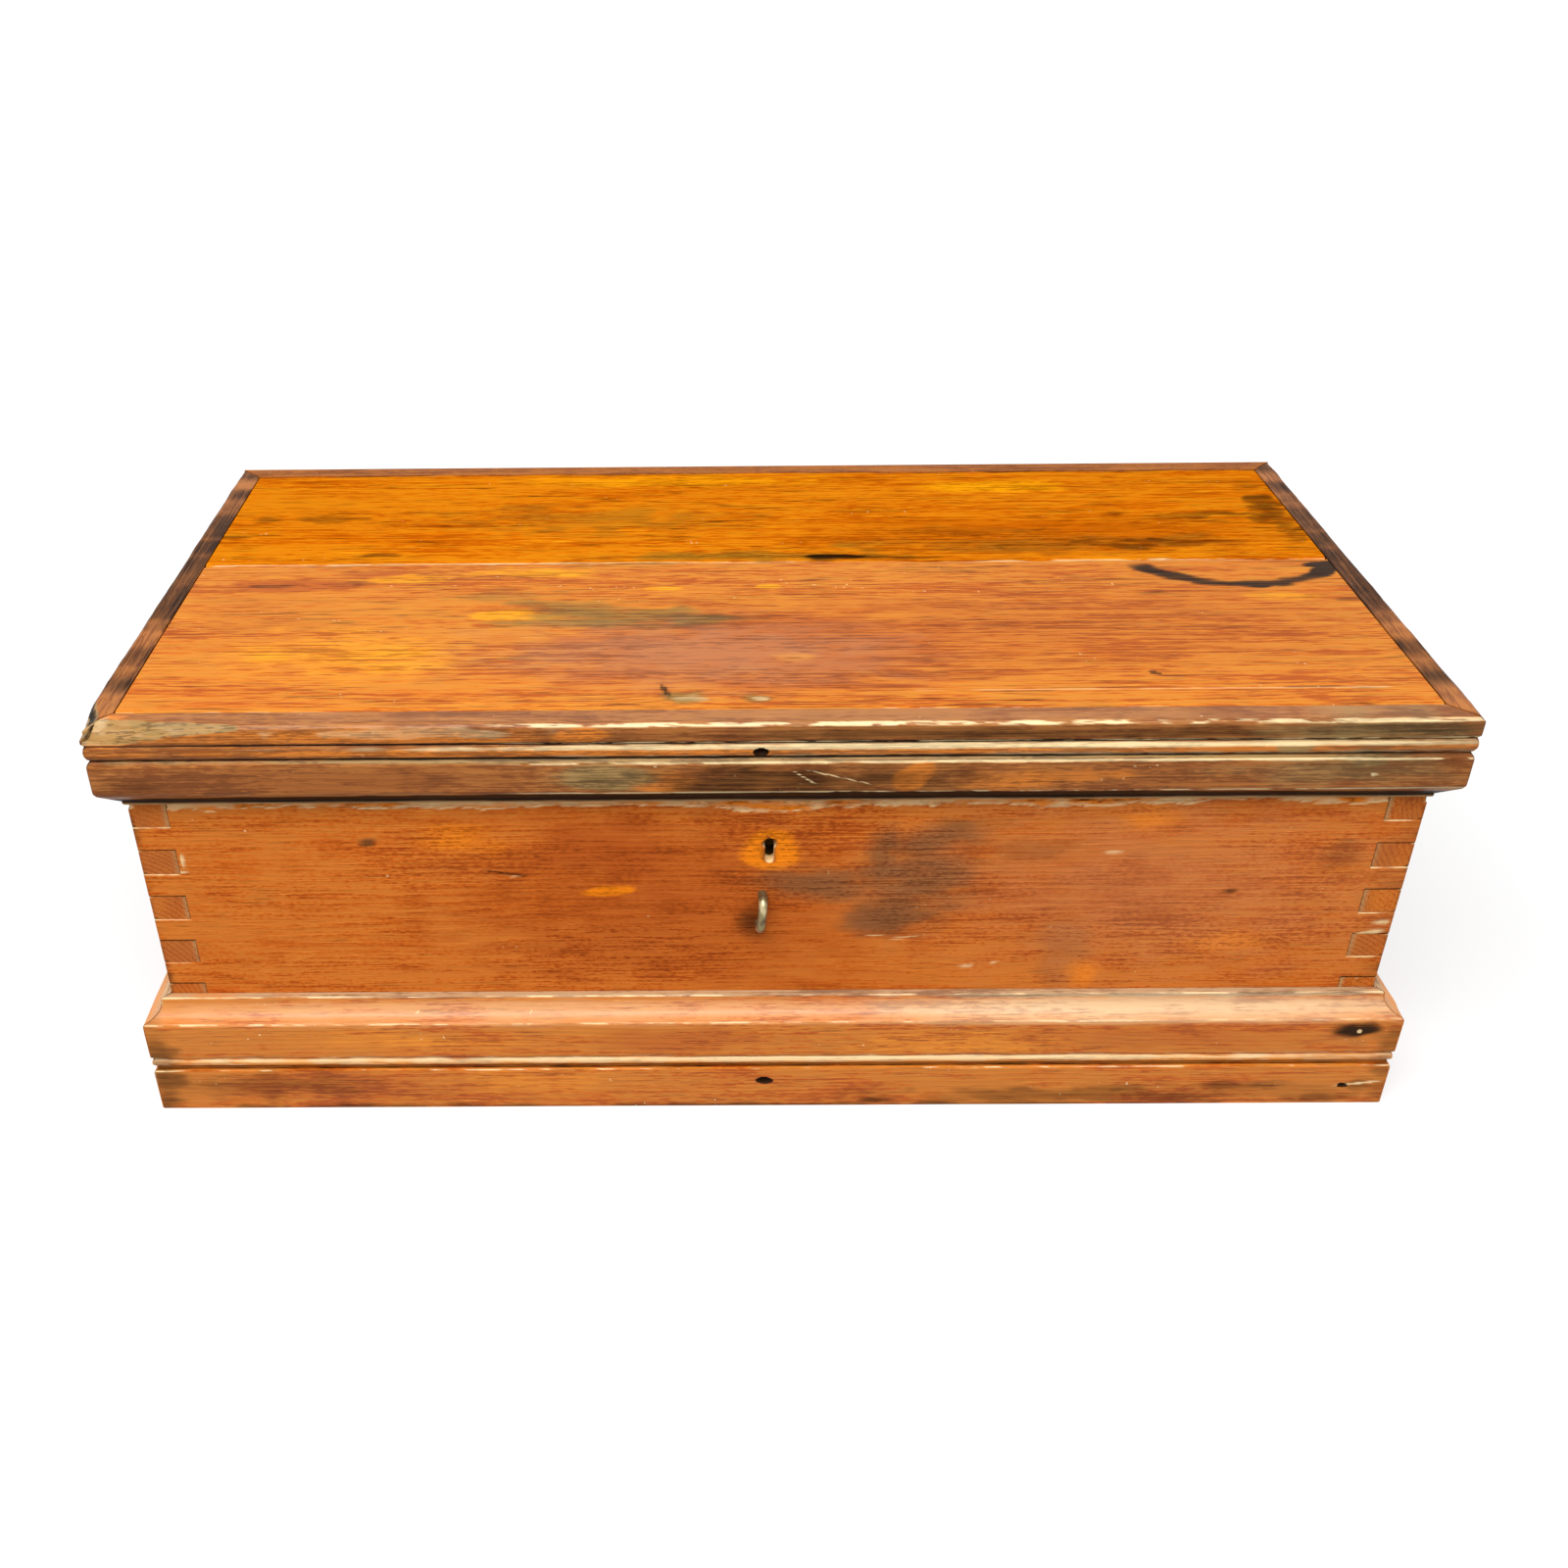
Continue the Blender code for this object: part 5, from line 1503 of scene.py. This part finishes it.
@dataclass
class Carcase:
    """The four walls, the bottom and the runners."""

    key_x: float = -3.0
    key_drop: float = 31.6  # from the top of the wall to the middle of the keyhole's head
    key_radius: float = 4.1
    key_slot: float = 5.6  # width of its leg
    key_leg: float = 13.9  # from the middle of its head to its foot
    key_past: float = 5.0  # how far the keyhole's cutter stands out of the wood
    torn_lock: float = 3.5  # how much deeper the front's top is torn over the lock
    bottom_boards: int = 5
    bottom_eased: float = 0.6  # width of the eased edges on the bottom boards
    runner_eased: float = 0.8  # the same on the till's runners
    end_spots: tuple[Spot, ...] = (
        *strewn(Mark.RUDDY, (-90, 160, 70, 60, 0.6, 0, 0.45, 1.6)),
        *strewn(Mark.WARM, (95, 120, 40, 18, 0.6, 0, 0.45, 1.4)),
        *strewn(Mark.BLOOM, (120, 190, 40, 20, 0.5, 0, 0.45, 1.4)),
        # (0, 150) is dirt round the handle, with painted shade under it
        *strewn(Mark.SOOT, (0, 150, 66, 26, 0.45, 0, 0.45, 1.4), (-186, 170, 10, 80, 0.4, 0, 0.6, 2)),
        *strewn(Mark.PALE, (0, 126, 34, 2.5, 0.7, 0, 0.7)),
    )
    back_spots: tuple[Spot, ...] = (
        *strewn(Mark.RUDDY, (-120, 150, 200, 80, 0.6, 0, 0.45, 1.6)),
        *strewn(Mark.WARM, (240, 170, 70, 30, 0.5, 0, 0.45, 1.6)),
        *strewn(Mark.SOOT, (150, 120, 90, 20, 0.35, 0, 0.8, 1.6)),
        *strewn(Mark.PALE, (-40, 112, 40, 0.5, 0.7, 3)),
    )
    front_spots: tuple[Spot, ...] = (
        # Painted sheen on the front's right half
        *strewn(Mark.HAZE, (240, 160, 150, 70, 0.4, 0, 0.45, 1.8)),
        *strewn(
            Mark.RUDDY,
            (-60, 150, 150, 80, 0.65, 0, 0.45, 1.6), (-97, 190, 52, 26, 0.8, 0, 0.45, 1.2),
            (180, 160, 90, 60, 0.45, 0, 0.45, 1.6),
        ),
        *strewn(
            Mark.WARM,
            (-1.5, 191, 17, 15, 1, 0, 0.25), (-98, 162, 15, 4, 1, 9, 0.6),
            (192, 98, 13, 11, 0.7, 0, 0.45, 1.4), (280, 119, 30, 9, 0.55, 0, 0.45, 1.6),
            (222, 213, 18, 9, 0.65, 0, 0.45, 1.6), (-185, 200, 26, 12, 0.6, 0, 0.45, 1.4),
        ),
        *strewn(
            Mark.BLOOM,
            (-241, 198, 8, 2.2, 0.9), (96, 198, 33, 12, 0.85, 12, 0.45, 1.9),
            (65, 183, 11, 24, 0.9, 0, 0.6, 1.9), (88, 168, 38, 24, 0.85, 0, 0.45, 1.9),
            (72, 142, 25, 16, 0.95, 0, 0.6, 1.8), (30, 166, 44, 11, 0.85, -6, 0.45, 1.9),
            (180, 112, 16, 32, 0.45, 0, 0.45, 1.4),
        ),
        *strewn(
            Mark.SOOT,
            (-242, 198, 12, 3.4, 0.6, 0, 0.8), (-153, 174, 18, 0.8, 0.7, -10, 0.8),
            # (-13, 137) is the dark halo below and left of the staple: rust stain with painted shadow
            (-13, 137, 10, 12, 0.66, 0, 0.4, 1.8), (276, 159, 5, 2.5, 0.65, 0, 0.45, 1.4),
            (336, 184, 17, 14, 0.42, 0, 0.45, 1.8), (150, 190, 40, 10, 0.35, 0, 0.45, 1.4),
            (378, 150, 18, 90, 0.4, 0, 0.6, 2),
        ),
        *strewn(
            Mark.PALE,
            (-238, 197.4, 5, 0.8, 0.7), (-156, 173.6, 7, 0.6, 0.6, -10), (66, 127, 11, 0.4, 0.8, 3),
            (82, 125.5, 10, 0.4, 0.8, 4), (74, 123.5, 9, 0.4, 0.8, 2), (134, 105, 13, 0.4, 0.8, 6),
            (126, 103, 9, 0.4, 0.7, 4), (200, 189, 11, 0.4, 0.7, -3), (-354, 186, 1.6, 6, 0.9),
            (-358, 177.5, 7, 0.9, 0.9), (371, 134, 8, 1.6, 0.9, 14), (369, 127, 9, 1.4, 0.9, 6),
        ),
    )

    def keyhole(self) -> bpy.types.Object:
        """A prism through the front wall: a round head over a straight leg with a round foot.

        Returns:
            The cutter.
        """
        low, high = node_box("front_board")
        level = high[2] - self.key_drop
        half = self.key_slot / 2
        turn = math.degrees(math.asin(half / self.key_radius))
        outline = arc((self.key_x, level), (self.key_radius, self.key_radius), turn - 90, 270 - turn, 24)
        outline += arc((self.key_x, level - self.key_leg + half), (half, half), 180, 360)
        flat = np.array(outline)
        floor = node_box("lock_plate")[0][1]

        # Rings at both ends, close behind the outer face, and close before the lock's plate
        depths = (low[1] - self.key_past, low[1] + 0.6, floor - 1.0, high[1] + self.key_past)
        rings = [np.insert(flat, 1, y, axis=1) for y in depths]
        faces = tube_faces(len(rings), len(flat))
        return make_piece("keyhole_cutter", np.concatenate(rings), faces)

    def bare_keyhole(self, piece: bpy.types.Object) -> None:
        """Marks the inside of the keyhole as raw wood: every point round it that lies behind the outer face.

        Args:
            piece: The front wall, already carved.
        """
        low, high = node_box("front_board")
        count = len(piece.data.vertices)
        place = np.empty(count * 3, dtype=np.float32)
        piece.data.vertices.foreach_get("co", place)
        place = place.reshape(-1, 3) / MM
        centre = (self.key_x, (low[1] + high[1]) / 2, high[2] - self.key_drop - self.key_leg / 4)
        reach = (self.key_radius + FIT, (high[1] - low[1]) / 2 - FIT, self.key_leg)
        inside = np.all(np.abs(place - centre) < reach, axis=1)
        layer = piece.data.attributes[Mark.PALE.value].data
        pale = np.empty(count, dtype=np.float32)
        layer.foreach_get("value", pale)
        layer.foreach_set("value", np.where(inside, np.float32(1.0), pale))

    def build(self) -> None:
        """Makes the walls, and dresses the boards that stay as they are."""
        boards = (
            FingerBoard(
                "front_board", 0, -1.0, False, (60.0, -120.0, 118.0), 81, self.front_spots,
                torn_deeper=self.torn_lock,
            ),
            FingerBoard("left_end_board", 1, -1.0, True, (-440.0, 30.0, 60.0), 82, self.end_spots),
            FingerBoard("right_end_board", 1, 1.0, True, (460.0, -70.0, 250.0), 83, self.end_spots),
            FingerBoard("back_board", 0, 1.0, False, (-90.0, 240.0, 96.0), 84, self.back_spots),
        )
        for board in boards:
            piece = board.build()
            if board.node == "front_board":
                carve(piece, [self.keyhole(), *recesses(("lock_plate", "lock_cap"))])
                self.bare_keyhole(piece)
            if board.node == "back_board":
                carve(piece, recesses(("hinge_left_case_leaf", "hinge_right_case_leaf")))
            grain = Grain.ALONG_X if board.axis == 0 else Grain.ALONG_Y
            settle(piece, "carcase", WALL_PINE.material(grain), (board.node,))
        for number in range(1, self.bottom_boards + 1):
            dress(f"bottom_board_{number}", BARE_PINE.material(Grain.ALONG_Y), self.bottom_eased)
        for side in ("left", "right"):
            dress(f"till_runner_{side}", BARE_PINE.material(Grain.ALONG_Y), self.runner_eased)


def recesses(nodes: tuple[str, ...]) -> list[bpy.types.Object]:
    """A box cutter for each node, a little larger than the node and open at the top and the back.

    Args:
        nodes: What is let into the wood.

    Returns:
        The cutters.
    """
    made = []
    for node in nodes:
        low, high = node_box(node)
        low, high = low - FIT, high + np.array((FIT, RECESS_OPEN, RECESS_OPEN))
        corners = [(low[0], low[1]), (high[0], low[1]), (high[0], high[1]), (low[0], high[1])]
        rings = [np.array([(*corner, z) for corner in corners]) for z in (low[2], high[2])]
        made.append(make_piece(f"{node}_cutter", np.concatenate(rings), tube_faces(2, 4)))
    return made


@dataclass
class Till:
    """The sliding tray."""

    eased: float = 0.7  # width of the eased edges
    long_boards: tuple[str, ...] = ("front", "back", "bottom")
    short_boards: tuple[str, ...] = ("left_end", "right_end", "divider")

    def build(self) -> None:
        """Dresses the tray's boards."""
        for grain, names in ((Grain.ALONG_X, self.long_boards), (Grain.ALONG_Y, self.short_boards)):
            for name in names:
                dress(f"till_{name}", BARE_PINE.material(grain), self.eased)


@dataclass(frozen=True)
class Tube:
    """A forged bar: a circle carried along a bent line, its radius uneven from the hammer.

    A point is path(t) + radius·(cos·side + sin·cross), where side and cross stand square to the path.
    """

    name: str
    path: Array
    radius: float
    seed: int
    sides: int = 20
    uneven: float = 0.06
    dent: float = 2.5  # length of a hammer mark, in points of the path

    def build(self) -> bpy.types.Object:
        """Carries the circle along the path.

        Returns:
            The piece.
        """
        ahead = np.gradient(self.path, axis=0)
        ahead /= np.linalg.norm(ahead, axis=1, keepdims=True)
        plane = np.cross(ahead[0], ahead[len(ahead) // 3])
        side = np.broadcast_to(plane / np.linalg.norm(plane), ahead.shape)
        cross = np.cross(ahead, side)
        turn = np.linspace(0.0, 2.0 * np.pi, self.sides, endpoint=False)
        run = np.arange(len(self.path))[:, None] / self.dent
        dents = rough(run, np.sin(turn)[None, :] + 2.0, self.seed)
        radius = self.radius * (1.0 - self.uneven + self.uneven * dents)
        ring = np.cos(turn)[:, None] * side[:, None, :] + np.sin(turn)[:, None] * cross[:, None, :]
        points = self.path[:, None, :] + radius[:, :, None] * ring
        return make_piece(self.name, points.reshape(-1, 3), tube_faces(len(self.path), self.sides))


@dataclass(frozen=True)
class ScrewSet:
    """Slotted screw heads on a plate: low domes h = rise·(1 - r²/R²), sunk where a slot crosses them.

    Each head is a grid of radius and angle, closed behind by its own rim, and turned its own way.
    """

    name: str
    centres: Array
    outward: Triple
    radius: float = 3.2
    rise: float = 0.8
    slot: float = 0.45
    slot_depth: float = 0.65  # share of the rise
    rim_sunk: float = 0.3  # how far the rim is closed behind the plate's face
    rings: int = 12
    sides: int = 40
    seed: int = 17

    def build(self) -> bpy.types.Object:
        """Works out one head and sets a turned copy on each centre.

        Returns:
            The heads as one piece.
        """
        out = np.array(self.outward)
        side = np.roll(np.abs(out), 1)
        cross = np.cross(out, side)
        share = np.concatenate([[1.0], np.linspace(1.0, 0.03, self.rings)])[:, None]
        angle = np.linspace(0.0, 2.0 * np.pi, self.sides, endpoint=False)[None, :]
        a, b = self.radius * share * np.cos(angle), self.radius * share * np.sin(angle)
        sunk = self.slot_depth * self.rise * ease((self.slot - np.abs(b)) / 0.2 + 0.5)
        height = np.maximum(self.rise * (1.0 - 0.8 * share**2) - sunk, 0.02)
        height[0] = -self.rim_sunk
        points, faces = [], []
        turns = np.random.default_rng(self.seed).uniform(0.0, np.pi, len(self.centres))
        for number, (centre, turn) in enumerate(zip(self.centres, turns)):
            u, v = a * np.cos(turn) - b * np.sin(turn), a * np.sin(turn) + b * np.cos(turn)
            head = centre + u[..., None] * side + v[..., None] * cross + height[..., None] * out
            points.append(head.reshape(-1, 3))
            first = number * a.size
            faces += [[first + corner for corner in face] for face in tube_faces(len(share), self.sides)]
        return make_piece(self.name, np.concatenate(points), faces)


@dataclass
class Ironwork:
    """Hinges, lock, staple and handles."""

    staple_lean: float = 1.6
    staple_bend: float = 6.5
    staple_swell: float = 1.2
    staple_detail: float = 1.2  # widest gap between the points of its path
    staple_seed: int = 91
    plate_screws: Pair = (30.0, 10.0)
    plate_thickness: float = 3.0
    lock_screw_inset: float = 6.0
    lock_screw: Pair = (2.4, 0.5)  # radius and rise of its heads
    iron_eased: float = 0.35  # width of the eased edges on iron
    brass_eased: float = 0.3  # the same on brass

    def staple(self) -> Tube:
        """The hasp staple: two legs out of the front wall and a bend between them, leaning a little.

        Returns:
            The bar, not yet built.
        """
        low, high = node_box("hasp_staple")
        radius = (high[0] - low[0]) / 2
        middle, out = (low[0] + high[0]) / 2, low[1] + radius
        top, bottom, bend = high[2] - radius, low[2] + radius, self.staple_bend
        outline = [(high[1], top)]
        outline += arc((out + bend, top - bend), (bend, bend), 90, 180)
        outline += arc((out + bend, bottom + bend), (bend, bend), 180, 270)
        flat = subdivided(np.array([*outline, (high[1], bottom)]), self.staple_detail)
        lean = self.staple_lean * ease((high[1] - flat[:, 0]) / (high[1] - out))
        across = middle + lean * (flat[:, 1] - bottom) / (top - bottom)
        path = np.stack([across, flat[:, 0], flat[:, 1]], axis=1)
        return Tube("worn_hasp_staple", path, radius * self.staple_swell, self.staple_seed)

    def handle_screws(self, side: str) -> ScrewSet:
        """Four screws in a handle's plate, between its ears.

        Args:
            side: left or right.

        Returns:
            The screws, not yet built.
        """
        low, high = node_box(f"handle_plate_{side}")
        out = -1.0 if side == "left" else 1.0
        face = (high[0] if out < 0 else low[0]) + out * self.plate_thickness
        middle = (low[2] + high[2]) / 2
        wide, tall = self.plate_screws
        centres = [(face, y, middle + z) for y in (-wide, wide) for z in (-tall, tall)]
        return ScrewSet(f"handle_screws_{side}", np.array(centres), (out, 0.0, 0.0))

    def lock_screws(self) -> ScrewSet:
        """Four screws in the corners of the lock's plate, on the inside of the front wall.

        Returns:
            The screws, not yet built.
        """
        low, high = node_box("lock_plate")
        inset = self.lock_screw_inset
        columns, rows = (low[0] + inset, high[0] - inset), (low[2] + inset, high[2] - 2 * inset)
        centres = [(x, high[1], z) for x in columns for z in rows]
        return ScrewSet("lock_screws", np.array(centres), (0.0, 1.0, 0.0), *self.lock_screw)

    def build(self) -> None:
        """Makes the staple and the screws, and dresses the other metal pieces."""
        settle(self.staple().build(), "carcase", STAPLE_IRON.material(), ("hasp_staple",))
        for screws in (self.handle_screws("left"), self.handle_screws("right"), self.lock_screws()):
            settle(screws.build(), "carcase", IRON.material())
        for row in frame["record"]["subparts"]:
            if row["material_slot"] == "wrought_iron" and row["node"] != "hasp_staple":
                dress(row["node"], IRON.material(), self.iron_eased)
            elif row["material_slot"] == "lock_brass":
                dress(row["node"], BRASS.material(), self.brass_eased)


@dataclass
class Studio:
    """Camera, light and floor, in metres and degrees."""

    camera_place: Triple = (-0.04578, -0.94939, 0.72718)
    camera_angles: Triple = (57.47256, 0.53099, 0.15065)
    lens: float = 36.036
    shift: float = 0.0625
    sensor: float = 36.0
    lamp_place: Triple = (-0.3, -1.27, 2.2)
    lamp_angles: Triple = (31.5, 0.0, -10.0)
    lamp_size: Pair = (2.0, 1.0)
    lamp_power: float = 62.0
    fill: float = 0.47  # strength of the room where it only lights
    white: str = "#FFFFFF"
    floor_paint: str = "#A6A6A6"
    floor_half: float = 9.0
    floor_near: Pair = (0.5, 0.62)  # distance from the middle, and the floor's glow there
    floor_far: Pair = (1.4, 0.95)  # the same further out, where the floor has become white

    def build(self) -> None:
        """Sets up everything round the chest."""
        self.build_camera()
        self.build_light()
        self.build_floor()
        bpy.context.scene.view_settings.view_transform = "Standard"

    def build_camera(self) -> None:
        """A camera at the photograph's place and angle."""
        data = bpy.data.cameras.new("photo_camera")
        data.lens, data.sensor_width, data.shift_x = self.lens, self.sensor, self.shift
        camera = bpy.data.objects.new("photo_camera", data)
        camera.location = self.camera_place
        camera.rotation_euler = [math.radians(angle) for angle in self.camera_angles]
        bpy.context.scene.collection.objects.link(camera)
        bpy.context.scene.camera = camera

    def build_light(self) -> None:
        """A large soft lamp above the front, in a room that lights evenly and looks white."""
        data = bpy.data.lights.new("soft_key", "AREA")
        data.shape = "RECTANGLE"
        data.size, data.size_y = self.lamp_size
        data.energy = self.lamp_power
        lamp = bpy.data.objects.new("soft_key", data)
        lamp.location = self.lamp_place
        lamp.rotation_euler = [math.radians(angle) for angle in self.lamp_angles]
        bpy.context.scene.collection.objects.link(lamp)
        world = bpy.data.worlds.new("studio_room")
        world.use_nodes = True
        bpy.context.scene.world = world
        tree = world.node_tree
        strength = add_node(tree, "MapRange", self.shown(tree), 0.0, 1.0, self.fill, 1.0)
        back = tree.nodes["Background"]
        back.inputs["Color"].default_value = linear(self.white)
        connect(tree, back, {"Strength": strength})

    def shown(self, tree: bpy.types.NodeTree) -> bpy.types.Node:
        """One where the background is seen, straight or in a shiny surface, and zero where it only lights.

        Args:
            tree: The node tree that needs it.

        Returns:
            The node that gives the value.
        """
        rays = add_node(tree, "LightPath").outputs
        either = {"operation": "MAXIMUM"}
        shiny = add_node(tree, "Math", rays["Is Glossy Ray"], rays["Is Transmission Ray"], **either)
        return add_node(tree, "Math", rays["Is Camera Ray"], shiny, **either)

    def build_floor(self) -> None:
        """A pale matt floor that looks white where no shadow falls."""
        corners = self.floor_half * np.array([(-1, -1, 0), (1, -1, 0), (1, 1, 0), (-1, 1, 0)])
        mesh = bpy.data.meshes.new("studio_floor")
        mesh.from_pydata(corners, [], [(0, 1, 2, 3)])
        material, tree, shader = new_material("floor_paint_white")
        shader.inputs["Base Color"].default_value = linear(self.floor_paint)
        shader.inputs["Roughness"].default_value = 0.9
        shader.inputs["Specular IOR Level"].default_value = 0.0
        coords = add_node(tree, "TexCoord").outputs["Object"]
        away = add_node(tree, "VectorMath", coords, operation="LENGTH")
        (near, dim), (far, full) = self.floor_near, self.floor_far
        glow = add_node(tree, "MapRange", away, near, far, dim, full, interpolation_type="SMOOTHSTEP")
        lift = add_node(tree, "Math", self.shown(tree), glow, operation="MULTIPLY")
        shader.inputs["Emission Color"].default_value = linear(self.white)
        connect(tree, shader, {"Emission Strength": lift})
        mesh.materials.append(material)
        floor = bpy.data.objects.new("studio_floor", mesh)
        bpy.context.scene.collection.objects.link(floor)


def main() -> None:
    """Builds the chest's sub-assemblies in order, and logs each one."""
    logging.basicConfig(level=logging.INFO, format="%(name)s: %(message)s")
    for assembly in (Studio(), Carcase(), Plinth(), Lid(), Till(), Ironwork()):
        log.info("building %s", type(assembly).__name__)
        assembly.build()


if __name__ == "__main__":
    main()
